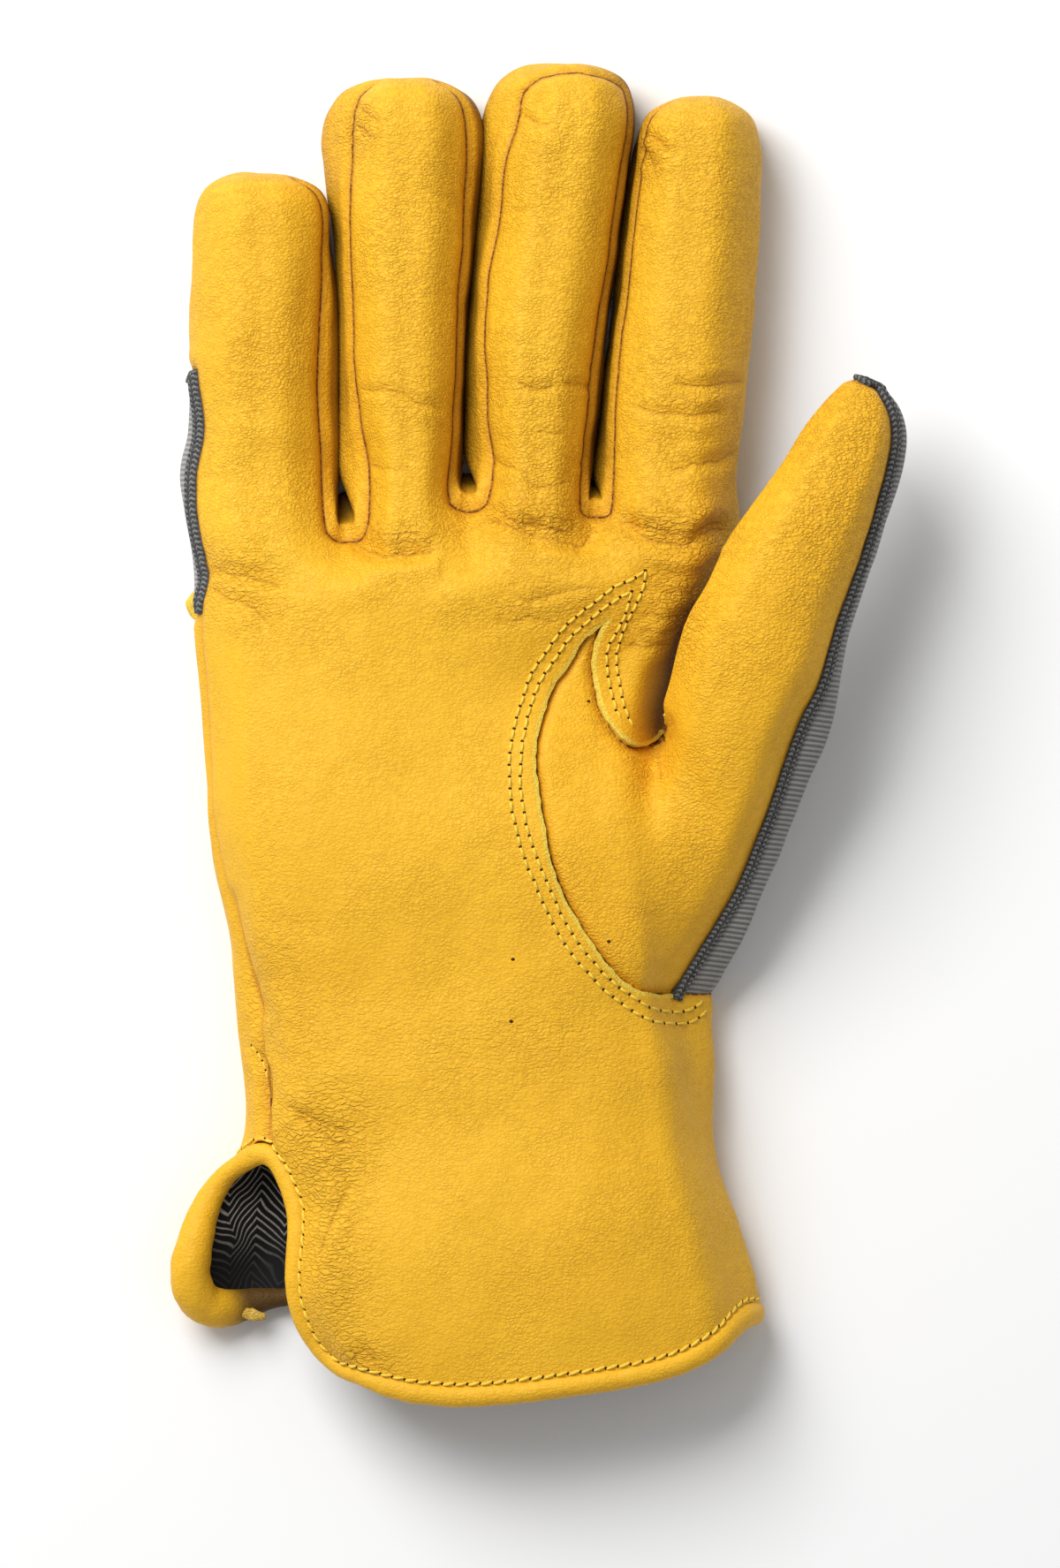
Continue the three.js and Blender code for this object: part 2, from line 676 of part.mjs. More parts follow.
// Moves from each border point into its panel that keep both its border edges one gap away
function inwardVectors(triangles) {
  const edges = boundaryEdges(triangles);
  const borders = new Set(edges.map(([start, end]) => `${start},${end}`));
  const pulls = new Map(edges.map(([start]) => [start, []]));
  triangles.forEach((triangle) => triangle.forEach((start, order) => {
    const end = triangle[(order + 1) % 3];
    if (borders.has(`${start},${end}`)) {
      const along = points[end].clone().sub(points[start]);
      const pull = faceNormal(triangle).cross(along).normalize();
      pulls.get(start).push(pull);
      pulls.get(end).push(pull);
    }
  }));
  const inward = new Map();
  pulls.forEach((list, corner) => {
    const direction = list.reduce((sum, pull) => sum.add(pull), new THREE.Vector3()).normalize();
    const least = Math.min(...list.map((pull) => pull.dot(direction)));
    inward.set(corner, direction.divideScalar(Math.max(least, LEAST_MITRE)));
  });
  return inward;
}

function geometryOf(positions, triangles) {
  const geometry = new THREE.BufferGeometry();
  geometry.setAttribute('position', new THREE.Float32BufferAttribute(positions, 3));
  geometry.setIndex(triangles.flat());
  geometry.computeVertexNormals();
  return geometry;
}

// A closed wall between two depths below the shared surface
function wallGeometry(faces, depths, outerDepth, innerDepth) {
  const triangles = trianglesOf(faces);
  const edges = boundaryEdges(triangles);
  const inward = inwardVectors(triangles);
  const corners = [...new Set(triangles.flat())];
  const order = new Map(corners.map((corner, place) => [corner, place]));
  const positions = [];
  [outerDepth, innerDepth].forEach((depth) => corners.forEach((corner) => {
    const spot = points[corner].clone().addScaledVector(depths[corner], -depth);
    if (inward.has(corner)) {
      spot.addScaledVector(inward.get(corner), SEAM_GAP);
    }
    positions.push(spot.x, spot.y, spot.z);
  }));
  const outer = (corner) => order.get(corner);
  const inner = (corner) => order.get(corner) + corners.length;
  const walls = triangles.flatMap(([a, b, c]) => [
    [outer(a), outer(b), outer(c)],
    [inner(c), inner(b), inner(a)],
  ]);
  const rims = edges.flatMap(([start, end]) => (start < end
    ? [[outer(end), outer(start), inner(start)], [outer(end), inner(start), inner(end)]]
    : [[outer(end), outer(start), inner(end)], [outer(start), inner(start), inner(end)]]));
  return geometryOf(positions, [...walls, ...rims]);
}

// The rolled hem follows the free edge of the cuff and the vent
function hemEdge(loops) {
  const cuff = loops[0];
  const front = [4, 3, 2, 1, 0].map((row) => loops[row].front[0]);
  const back = [0, 1, 2, 3].map((row) => loops[row].back[0]);
  const cuffEdge = [...cuff.front.slice(1), ...cuff.rightWall, ...cuff.back.slice(1).reverse()];
  return [...front, ...cuffEdge, ...back, loops[VENT_ROW].leftWall[1]];
}

// The hem is thicker along the back flap of the vent
function hemRadius(place, loops) {
  const flapRow = loops.slice(0, VENT_ROW).findIndex((loop) => loop.back[0] === place);
  if (flapRow < 0) {
    return HEM_RADIUS;
  }
  return flapRow === 0 ? (HEM_RADIUS + VENT_HEM_RADIUS) / 2 : VENT_HEM_RADIUS;
}

function hemGeometry(loops, depths) {
  const edge = hemEdge(loops);
  const radii = edge.map((place) => hemRadius(place, loops));
  const normals = edge.map((place) => depths[place].clone().normalize());
  const centres = edge.map((place, order) => {
    const before = points[edge[(order + edge.length - 1) % edge.length]];
    const after = points[edge[(order + 1) % edge.length]];
    const outward = after.clone().sub(before).cross(normals[order]).normalize();
    return points[place].clone()
      .addScaledVector(outward, radii[order] + HEM_GAP)
      .addScaledVector(normals[order], -WALL / 2);
  });
  const path = new THREE.CatmullRomCurve3(centres, true, 'centripetal');
  const positions = [];
  for (let step = 0; step < HEM_STEPS; step += 1) {
    const share = step / HEM_STEPS;
    const along = path.getUtoTmapping(share) * edge.length;
    const low = Math.floor(along) % edge.length;
    const high = (low + 1) % edge.length;
    const part = along - Math.floor(along);
    const centre = path.getPointAt(share);
    const tangent = path.getTangentAt(share);
    const across = normals[low].clone().lerp(normals[high], part).cross(tangent).normalize();
    const up = tangent.clone().cross(across).normalize();
    const radius = mix(radii[low], radii[high], part);
    for (let side = 0; side < HEM_SIDES; side += 1) {
      const angle = (2 * Math.PI * side) / HEM_SIDES;
      const spot = centre.clone()
        .addScaledVector(across, radius * Math.cos(angle))
        .addScaledVector(up, radius * Math.sin(angle));
      positions.push(spot.x, spot.y, Math.max(spot.z, 0));
    }
  }
  const faces = [];
  for (let step = 0; step < HEM_STEPS; step += 1) {
    for (let side = 0; side < HEM_SIDES; side += 1) {
      const next = (step + 1) % HEM_STEPS;
      const after = (side + 1) % HEM_SIDES;
      const a = step * HEM_SIDES + side;
      const b = step * HEM_SIDES + after;
      const c = next * HEM_SIDES + after;
      const d = next * HEM_SIDES + side;
      faces.push([a, b, c], [a, c, d]);
    }
  }
  return geometryOf(positions, faces);
}

// Materials
const LEATHER = { color: 0xf0b428, roughness: 0.62, metalness: 0 };
const FABRIC = { color: 0x6c6e70, roughness: 0.95, metalness: 0 };
const LINING_CLOTH = { color: 0x16161a, roughness: 0.85, metalness: 0 };

function addPiece(group, name, geometry, finish) {
  const mesh = new THREE.Mesh(geometry, new THREE.MeshStandardMaterial(finish));
  mesh.name = name;
  group.add(mesh);
}

// Assembly
const loops = buildHand();
buildFingers(loops[loops.length - 1]);
buildThumb(loops);
splitPanel('palm_front', WING, 'thumb_front', 'palm_panel');
splitPanel('hand_back', BACK_SEAM, 'back_cuff', 'back_fabric');
const depths = depthVectors();

const glove = new THREE.Group();
const PANELS = {
  palm_panel: LEATHER,
  thumb_front: LEATHER,
  thumb_back: FABRIC,
  back_fabric: FABRIC,
  back_cuff: LEATHER,
  fourchette_little_ring: LEATHER,
  fourchette_ring_middle: LEATHER,
  fourchette_middle_index: LEATHER,
  fingertip_cap_little: LEATHER,
  fingertip_cap_ring: LEATHER,
  fingertip_cap_middle: LEATHER,
  fingertip_cap_index: LEATHER,
};
Object.entries(PANELS).forEach(([name, finish]) => {
  const faces = quads.filter((quad) => quad.panel === name);
  addPiece(glove, name, wallGeometry(faces, depths, 0, WALL), finish);
});
const lined = quads.filter((quad) => quad.row !== undefined && quad.row < LINED_ROWS);
const liningTop = WALL + LINING_GAP;
addPiece(glove, 'cuff_lining', wallGeometry(lined, depths, liningTop, liningTop + LINING), LINING_CLOTH);
addPiece(glove, 'cuff_binding', hemGeometry(loops, depths), LEATHER);

// The origin is under the middle of the glove
const box = new THREE.Box3().setFromObject(glove);
glove.children.forEach((mesh) => {
  mesh.geometry.translate(-(box.min.x + box.max.x) / 2, -(box.min.y + box.max.y) / 2, -box.min.z);
});

export default glove;
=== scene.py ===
import math
import random

import bpy
import numpy as np
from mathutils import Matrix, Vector, noise
from mathutils.bvhtree import BVHTree
from mathutils.kdtree import KDTree


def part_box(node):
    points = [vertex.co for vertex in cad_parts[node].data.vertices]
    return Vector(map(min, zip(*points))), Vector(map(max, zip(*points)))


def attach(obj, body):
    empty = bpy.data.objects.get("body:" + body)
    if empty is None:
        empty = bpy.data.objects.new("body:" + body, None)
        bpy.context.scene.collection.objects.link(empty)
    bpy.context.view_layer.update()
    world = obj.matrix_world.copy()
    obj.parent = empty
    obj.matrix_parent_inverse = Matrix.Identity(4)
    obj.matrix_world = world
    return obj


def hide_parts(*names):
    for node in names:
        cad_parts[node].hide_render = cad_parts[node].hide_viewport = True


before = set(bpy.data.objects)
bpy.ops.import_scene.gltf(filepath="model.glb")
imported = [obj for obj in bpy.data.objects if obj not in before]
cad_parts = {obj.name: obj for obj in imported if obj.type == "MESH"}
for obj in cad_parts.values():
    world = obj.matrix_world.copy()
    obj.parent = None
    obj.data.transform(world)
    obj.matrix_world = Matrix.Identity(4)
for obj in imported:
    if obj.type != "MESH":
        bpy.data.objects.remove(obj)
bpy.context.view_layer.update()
random.seed(11)

# Modelling is in millimetres; the made pieces are in metres.
MM = 0.001
# Millimetres to a picture point, and the picture point at the origin
PX = 0.1714
PX_CENTRE = (609.0, 828.0)

# Smooth subdivisions of the cage, and how it is fitted to the measured points
LEVELS = 3
FIT_ROUNDS = 5
FIT_STEP = 0.85
# Steps of a smooth curve between two measured points
CURVE_STEPS = 12
# Sides of a loop in a side wall, and the heights of its two points as shares of the height of its seam
WALL_SIDES = 3
WALL_TOP_SHARE = 0.62
WALL_LOW_SHARE = 0.25
# Hand
BACK_INSET = 3.0
CROWN_POWER = 2.4
BOW_SKEW = 1.25
BOW_POWER = 4
CURL_SHARE = 0.14
CURL_POWER = 1.5
MOUTH_RISE = 1.7
VENT_ROW = 4
LINED_ROWS = 6
THUMB_LOW_ROW = 6
THUMB_HIGH_ROW = 12
SIDE_FABRIC_ROW = 14
LAST_COLUMN = 22
# Web between two fingers: how deep and how high its rows are
WEB_DEPTHS = ((2.6, 4.4), (3.4, 5.4), (2.6, 4.4))
WEB_HEIGHTS = (0.86, 0.3)
# Fingers
FINGER_COLUMNS = 4
FINGER_STEP = 7.0
FINGER_BACK_INSET = 2.6
FINGER_SEAM_SHARE = 0.66
FINGER_MIDDLE_SHARE = 0.46
TOUCH_LEFT = 1.2
TOUCH_RIGHT = 0.2
TIP_LENGTH = 11.0
TIP_POWER = 2.6
TIP_STEPS = (5.5, 2.2, 0.5)
CAP_BULGE = 0.5
CAP_LENGTH = 38.0
SIDE_FABRIC_TOP = 66.0
# Thumb
THUMB_COLUMNS = 6
THUMB_CROWN_POWER = 1.9
THUMB_SIDE_SHARE = 0.40
THUMB_SIDE_RISE = 0.15
THUMB_FRONT_START = 0.04
THUMB_BACK_START = 0.92
# Leather and lining
LEATHER_THICKNESS = 1.1
LINING_DEPTH = 1.5


def table(columns, rows):
    return [dict(zip(columns.split(), row)) for row in rows]


def from_px(pairs):
    """Points measured in the picture, as millimetres in the plan of the glove."""
    spots = np.array(pairs, float)
    return np.stack([(spots[:, 0] - PX_CENTRE[0]) * PX, (PX_CENTRE[1] - spots[:, 1]) * PX], 1)


def line_px(text):
    """The same for a line of picture points, written as x,y pairs with spaces between them."""
    return from_px([pair.split(",") for pair in text.split()])


HAND = table("yLeft yRight bow xLeft frontLeft zLeft frontRight xRight zRight crest lift", [
    (-122.0, -111.3, 9.2, -40.5, -40.5, 17.0, 39.9, 42.7, 13.0, 26.0, 0.0),
    (-112.5, -103.0, 5.6, -45.6, -45.6, 19.0, 38.2, 41.0, 13.5, 28.0, 0.0),
    (-102.0, -92.0, 3.5, -46.6, -46.6, 20.0, 35.6, 37.6, 14.0, 29.0, 0.0),
    (-91.5, -83.0, 2.0, -46.0, -46.0, 19.0, 32.5, 34.5, 14.0, 29.0, 0.0),
    (-80.0, -74.0, 1.0, -57.8, -52.0, 16.0, 30.9, 33.7, 14.0, 28.0, 0.0),
    (-71.0, -63.0, 0.0, -56.2, -52.8, 15.0, 29.8, 34.0, 14.0, 28.0, 0.0),
    (-61.0, -51.0, 0.0, -57.6, -53.5, 15.0, 26.7, 33.8, 14.0, 28.5, 0.0),
    (-51.0, -43.0, 0.0, -58.4, -55.0, 15.0, 25.9, 33.0, 20.0, 29.0, 0.5),
    (-40.5, -34.5, 0.0, -59.6, -58.1, 15.0, 24.9, 32.0, 24.0, 29.5, 1.0),
    (-29.5, -26.0, 0.0, -61.9, -60.7, 15.0, 23.8, 31.0, 26.5, 30.0, 2.0),
    (-19.0, -17.5, 0.0, -63.8, -63.1, 15.5, 23.1, 29.5, 26.5, 30.0, 3.0),
    (-9.0, -9.0, 0.0, -64.3, -63.8, 16.0, 23.0, 28.0, 22.0, 29.5, 4.0),
    (-0.5, -0.5, 0.0, -64.8, -64.3, 16.0, 23.7, 26.9, 12.5, 29.0, 4.5),
    (10.0, 11.0, 0.0, -65.5, -65.0, 16.0, 26.8, 29.2, 11.0, 28.5, 2.5),
    (23.0, 22.0, 0.0, -66.7, -65.6, 16.0, 33.2, 35.6, 11.5, 28.5, 1.0),
    (30.0, 31.0, 0.0, -66.4, -64.1, 15.5, 36.8, 38.5, 12.5, 27.5, 0.0),
    (38.0, 39.5, 0.0, -67.5, -66.2, 15.0, 38.2, 39.3, 13.0, 24.0, 0.0),
])
CROTCH = [(26.4, 0.2, 9.5), (27.4, 1.5, 7.0), (27.0, 2.5, 4.5)]
VENT_TOP = [(-57.8, -81.8, 9.5), (-55.6, -80.6, 12.5), (-59.2, -84.4, 7.0)]
# Columns between two fingers, and how far the back reaches into the gap there
WEB_BACK = {4: 45.5, 5: 47.0, 6: 45.5, 10: 47.5, 11: 49.0, 12: 47.5, 16: 46.5, 17: 48.0, 18: 46.5}
VENT_FLAP = table("x y z yRight", [
    (-65.4, -109.0, 6.0, -108.5),
    (-65.2, -102.0, 7.5, -100.5),
    (-63.8, -95.4, 7.0, -91.0),
    (-61.9, -89.5, 5.5, -82.5),
])
KNUCKLES = table("column x y z", [
    (0, -66.2, 38.0, 15.0),
    (2, -53.5, 37.0, 23.5),
    (4, -40.8, 38.5, 17.5),
    (5, -37.4, 37.0, 16.0),
    (6, -33.3, 39.0, 17.5),
    (8, -25.0, 36.0, 24.5),
    (10, -16.5, 44.5, 17.5),
    (11, -13.5, 43.0, 16.0),
    (12, -10.1, 44.5, 17.5),
    (14, -0.5, 37.5, 24.5),
    (16, 8.9, 43.0, 17.5),
    (17, 11.1, 42.0, 16.0),
    (18, 13.7, 42.5, 17.5),
    (20, 26.0, 36.5, 24.0),
    (22, 38.2, 39.5, 13.0),
])
FINGERS = [
    dict(name="little", column=0, tip=(-54.5, 108.5), crest=20.5,
         edges=[(49.5, -69.6, -67.0, -41.0, -38.9), (59.0, -67.9, -64.8, -41.0, -38.9),
                (68.5, -67.7, -66.6, -41.2, -38.9), (83.0, -67.4, -66.6, -41.2, -39.0),
                (97.5, -66.8, -66.0, -42.2, -40.6)],
         left=None,
         right="364,230 368,244 369.6,267 367.6,301 366.7,329 364,380 362,434 363,480 367,532"),
    dict(name="ring", column=6, tip=(-26.5, 127.0), crest=22.5,
         edges=[(50.5, -37.7, -33.2, -16.5, -14.9), (63.0, -37.9, -34.7, -15.6, -14.6),
                (76.0, -37.9, -36.0, -15.0, -14.3), (89.0, -38.3, -36.6, -14.3, -13.0),
                (102.0, -39.3, -36.9, -13.8, -11.6), (116.0, -40.9, -36.2, -13.7, -10.7)],
         left="397.7,155 396,177 393.7,215 393.4,249 394,292 397,329 397,380 399,425 402.5,466 "
              "409,496 415,523 418.6,550",
         right="531,151 530,215 528,267 522.5,318 518.6,469 515,514 512,541"),
    dict(name="middle", column=12, tip=(4.5, 130.0), crest=23.0,
         edges=[(53.0, -13.0, -9.1, 9.1, 10.6), (65.0, -13.2, -10.3, 10.3, 12.1),
                (78.0, -12.7, -10.6, 11.8, 13.2), (91.0, -11.7, -9.8, 14.1, 15.1),
                (104.0, -10.5, -7.2, 15.8, 16.7), (119.0, -9.7, -4.8, 18.0, 18.9)],
         left="588.5,125 583,146 573,170 570,198 565,232 562,255 556,279 552,301 551,329 545.4,380 "
              "546,403 548,434 547,469 552.5,496 557,523",
         right=None),
    dict(name="index", column=18, tip=(31.0, 123.2), crest=22.5,
         edges=[(50.0, 11.9, 14.4, 37.5, 38.4), (61.0, 13.2, 14.6, 39.2, 40.1),
                (73.0, 14.4, 15.2, 40.3, 41.2), (86.0, 16.0, 16.8, 41.3, 42.2),
                (98.5, 17.5, 18.3, 42.2, 43.2), (111.5, 19.3, 20.0, 42.3, 43.4)],
         left=None, right=None),
]
FOURCHETTES = ["fourchette_little_ring", "fourchette_ring_middle", "fourchette_middle_index"]
THUMB = table("xLeft yLeft zLeft xUnder yUnder xRight yRight zRight edge half", [
    (24.6, 4.2, 18.0, 4.9, -1.5, 39.3, -41.0, 12.0, 7.5, 12.0),
    (25.4, 8.0, 21.5, 5.1, -1.5, 44.0, -29.5, 15.0, 5.8, 12.5),
    (27.6, 17.5, 25.5, 3.9, -1.5, 50.7, -13.0, 20.0, 5.5, 12.5),
    (30.3, 24.0, 27.0, 3.5, -1.5, 55.7, -1.0, 23.0, 5.8, 12.5),
    (32.9, 28.5, 28.0, 2.5, -2.1, 57.6, 7.0, 24.0, 3.7, 12.5),
    (36.5, 36.5, 28.0, 2.4, -1.5, 60.7, 21.0, 24.5, 2.4, 12.0),
    (41.3, 43.5, 27.5, 2.3, -1.2, 64.4, 32.0, 24.5, 2.0, 11.5),
    (46.4, 50.5, 26.5, 2.1, -0.8, 67.7, 42.5, 24.5, 2.1, 11.0),
    (50.7, 57.0, 25.5, 1.9, -0.8, 70.1, 49.5, 24.5, 2.4, 10.0),
    (54.2, 62.0, 25.0, 1.7, -0.6, 71.3, 56.0, 24.5, 2.3, 8.5),
    (57.6, 66.0, 24.8, 1.2, -0.4, 69.9, 62.0, 24.5, 2.0, 6.0),
    (61.0, 68.6, 24.6, 0.8, -0.3, 66.9, 66.2, 24.5, 1.5, 3.5),
])
DENTS = table("x y xReach yReach depth", [
    (11.0, 14.0, 15.0, 11.0, 5.0),
    (-12.0, 6.0, 20.0, 20.0, 2.0),
    (-40.0, -84.0, 16.0, 7.0, 2.5),
    (-30.0, -48.0, 26.0, 16.0, 1.5),
])

# Cut edge of the palm leather: up the tongue from the crotch to the peak, then down the wing
TONGUE_EDGE = line_px(
    "748,822 746,829 737,838 724,841 713,837 701,827 689,812 682,796 678,776 675,761 675,744 679,728 "
    "684,714 693,701 705,685")
WING_EDGE = line_px(
    "705,685 686,700 669,713 658,723 646,741 636,758 626,769 618,789 611,807 606,824 603,842 602,860 "
    "604,884 610,924 617,966 626,995 638,1024 658,1056 679,1088 701,1113 719,1124 740,1129 769,1131 "
    "790,1127 806,1115")
WING_OUTLINE = np.concatenate([
    TONGUE_EDGE, WING_EDGE[1:], line_px("960,1110 960,831 790,831 760,826")])
# Seam over the front of the middle fingertip
TIP_SEAM = line_px(
    "588,116 591,105 601,94 613,86 632,82 658,81 684,86 699,93 709,101 716,114 740,114 740,50 560,50 "
    "560,116")
BACK_SEAM = np.array([
    (-80.0, 23.5), (-63.7, 23.0), (-40.0, 14.0), (-10.0, -14.0), (15.0, -42.0), (30.8, -51.0), (60.0, -51.0),
    (60.0, -200.0), (-80.0, -200.0)])

# The cage: shared points, and quads that belong to regions
points = []
quads = []


def add_point(x, y, z):
    points.append((x, y, z))
    return len(points) - 1


def add_quad(corners, region, row=-1):
    quads.append((*corners, region, row))


def add_ring(low, high, region_of, row=-1):
    """Quads between two loops; region_of gives the region of each side, or None where it is open."""
    for side in range(len(low)):
        after = (side + 1) % len(low)
        region = region_of(side)
        if region:
            add_quad((low[side], low[after], high[after], high[side]), region, row)


def mix(a, b, share):
    return a + (b - a) * share


def crown(across, power=CROWN_POWER):
    return (1 - abs(2 * across - 1) ** power) ** (1 / power)


def dent_depth(x, y):
    depth = 0
    for dent in DENTS:
        away = ((x - dent["x"]) / dent["xReach"], (y - dent["y"]) / dent["yReach"])
        depth += dent["depth"] * math.exp(-away[0] ** 2 - away[1] ** 2)
    return depth


def knuckle_at(column):
    order = next(i for i, key in enumerate(KNUCKLES) if key["column"] >= column)
    high, low = KNUCKLES[order], KNUCKLES[max(order - 1, 0)]
    span = high["column"] - low["column"]
    share = (column - low["column"]) / span if span else 0
    if span == 2:
        rise = crown((share if high["z"] > low["z"] else 1 + share) / 2)
        z = mix(min(low["z"], high["z"]), max(low["z"], high["z"]), rise)
    else:
        z = mix(low["z"], high["z"], share)
    return mix(low["x"], high["x"], share), mix(low["y"], high["y"], share), z


def across_at(column):
    first, last = KNUCKLES[0]["x"], KNUCKLES[-1]["x"]
    return (knuckle_at(column)[0] - first) / (last - first)


def curl(across):
    """Falls from one to nothing over the edge of the hand."""
    return max(0, 1 - across / CURL_SHARE) ** CURL_POWER


def wall(x, y, height, shares):
    return [add_point(x, y, height * share) for share in shares]


def hand_loop(row):
    s = HAND[row]
    flap = VENT_FLAP[row] if row < len(VENT_FLAP) else None
    knuckles = row == len(HAND) - 1
    front, back = [], []
    for column in range(LAST_COLUMN + 1):
        across = across_at(column)
        kx, ky, kz = knuckle_at(column)
        x = mix(s["frontLeft"], s["frontRight"], across)
        bow = s["bow"] * (1 - abs(2 * across ** BOW_SKEW - 1) ** BOW_POWER)
        y = ky if knuckles else mix(s["yLeft"], s["yRight"], across) - bow
        base = mix(s["zLeft"], s["zRight"], across)
        crest = max(s["crest"], base)
        z = kz if knuckles else mix(base, crest, crown(across)) - dent_depth(x, y) * crown(across)
        front.append(add_point(x, y, z))
        back_left = flap["x"] if flap else s["xLeft"] + BACK_INSET
        back_x = kx if knuckles else mix(back_left, s["xRight"] - BACK_INSET, across)
        low, high = (flap["y"], flap["yRight"]) if flap else (s["yLeft"], s["yRight"])
        back_y = WEB_BACK.get(column, ky) if knuckles else mix(low, high, across)
        flap_rise = flap["z"] * curl(across) if flap else 0
        lift = s["lift"] * curl(1 - across)
        back.append(add_point(back_x, back_y, max(flap_rise, lift, 0 if row else MOUTH_RISE)))
    right = [add_point(s["xRight"], s["yRight"], mix(s["lift"], s["zRight"], share))
             for share in (WALL_TOP_SHARE, WALL_LOW_SHARE)]
    left = wall(s["xLeft"], s["yLeft"], s["zLeft"], (WALL_LOW_SHARE, WALL_TOP_SHARE))
    if row == THUMB_HIGH_ROW:
        for corner, spot in zip([*right, back[LAST_COLUMN]], CROTCH):
            points[corner] = spot
    if row == VENT_ROW:
        for corner, spot in zip([*left, back[0]], VENT_TOP):
            points[corner] = spot
    return dict(front=front, right=right, back=back, left=left, all=[*front, *right, *back[::-1], *left])


def hand_region(row, side):
    if side < LAST_COLUMN:
        return "palm_front"
    if side < LAST_COLUMN + WALL_SIDES:
        return None if THUMB_LOW_ROW <= row < THUMB_HIGH_ROW else "palm_panel"
    if side < 2 * LAST_COLUMN + WALL_SIDES:
        return "hand_back"
    if row < VENT_ROW:
        return None
    return "back_fabric" if row >= SIDE_FABRIC_ROW else "back_cuff"


def build_hand():
    loops = [hand_loop(row) for row in range(len(HAND))]
    for row in range(len(loops) - 1):
        add_ring(loops[row]["all"], loops[row + 1]["all"], lambda side: hand_region(row, side), row)
    return loops


def build_web(knuckles, column, region):
    """The leather between two fingers rolls down and forward from the seam."""
    columns = []
    middle = points[knuckles["front"][column + 1]][0]
    for order in range(3):
        x, y, z = points[knuckles["front"][column + order]]
        x = mix(x, middle, 0.5)
        walls = [add_point(x, y + deep, z * high) for deep, high in zip(WEB_DEPTHS[order], WEB_HEIGHTS)]
        columns.append([knuckles["front"][column + order], *walls, knuckles["back"][column + order]])
    for a, b in zip(columns, columns[1:]):
        for level in range(3):
            add_quad((a[level], b[level], b[level + 1], a[level + 1]), region)
    return dict(left=columns[0][1:3], right=columns[2][1:3])


def between(first, last, share):
    return np.array(points[first]) * (1 - share) + np.array(points[last]) * share


def close_tip(loop, count, tip, region):
    """Fills the last loop of a finger with a grid that bulges towards the tip."""
    front = loop[:count + 1]
    right = loop[count + 1:count + 3]
    back = loop[count + 3:2 * count + 4][::-1]
    left = loop[2 * count + 4:][::-1]
    rows = [front]
    for level in range(2):
        row = [left[level]]
        for column in range(1, count):
            side = between(left[level], right[level], column / count)
            face = between(front[column], back[column], (level + 1) / 3)
            row.append(add_point(*((side + face) / 2 + np.array(tip) * CAP_BULGE)))
        rows.append([*row, right[level]])
    rows.append(back)
    for high, low in zip(rows, rows[1:]):
        for column in range(count):
            add_quad((high[column], high[column + 1], low[column + 1], low[column]), region)


def tip_factor(distance):
    if distance >= TIP_LENGTH:
        return 1.0
    return (1 - (1 - distance / TIP_LENGTH) ** TIP_POWER) ** (1 / TIP_POWER)


def finger_sections(finger):
    """Sections every few millimetres, with the seams where the picture shows them."""
    edges = np.array(finger["edges"])
    count = int(round((edges[-1, 0] - edges[0, 0]) / FINGER_STEP)) + 1
    sections = []
    for y in np.linspace(edges[0, 0], edges[-1, 0], count):
        s = dict(y=y)
        for order, key in enumerate(("xLeft", "seamLeft", "seamRight", "xRight")):
            s[key] = float(np.interp(y, edges[:, 0], edges[:, order + 1]))
        for key, line in (("seamLeft", finger["left"]), ("seamRight", finger["right"])):
            if line:
                spots = line_px(line)[::-1]
                s[key] = float(np.interp(y, spots[:, 1], spots[:, 0]))
        sections.append(s)
    return sections


def finger_loop(finger, s, factor):
    """One loop of a finger; below the tip the feet of its walls lean on the next fingers."""
    high = finger["crest"]
    seam_height = FINGER_SEAM_SHARE * high
    middle_height = FINGER_MIDDLE_SHARE * high
    middle = (s["xLeft"] + s["xRight"]) / 2
    centre = mix(finger["tip"][0], middle, factor)

    def place(x, z):
        return add_point(centre + (x - middle) * factor, s["y"], middle_height + (z - middle_height) * factor)

    is_full = factor == 1.0
    right_touch = TOUCH_RIGHT if is_full and finger["name"] != "index" else 0.0
    left_touch = TOUCH_LEFT if is_full and finger["name"] != "little" else 0.0
    top, low = seam_height * WALL_TOP_SHARE, seam_height * WALL_LOW_SHARE
    back_ends = (s["xRight"] - FINGER_BACK_INSET, s["xLeft"] + FINGER_BACK_INSET)
    shares = [column / FINGER_COLUMNS for column in range(FINGER_COLUMNS + 1)]
    front = [place(mix(s["seamLeft"], s["seamRight"], a), mix(seam_height, high, crown(a))) for a in shares]
    right = [place(s["xRight"], top), place(s["xRight"] + right_touch, low)]
    back = [place(mix(*back_ends, a), 0) for a in shares]
    left = [place(s["xLeft"] - left_touch, low), place(s["xLeft"], top)]
    return [*front, *right, *back, *left]


def cap_name(finger):
    return "fingertip_cap_" + finger["name"]


def finger_region(finger, side, y, is_tip, webs):
    cap = cap_name(finger)
    if side < FINGER_COLUMNS:
        return "palm_panel"
    if side < FINGER_COLUMNS + WALL_SIDES:
        return (cap if is_tip else webs[1]) if webs[1] else "palm_panel"
    if side < 2 * FINGER_COLUMNS + WALL_SIDES:
        return cap if y > finger["tip"][1] - CAP_LENGTH else "back_fabric"
    if not webs[0]:
        return "palm_panel" if y > SIDE_FABRIC_TOP else "back_fabric"
    return cap if is_tip else webs[0]


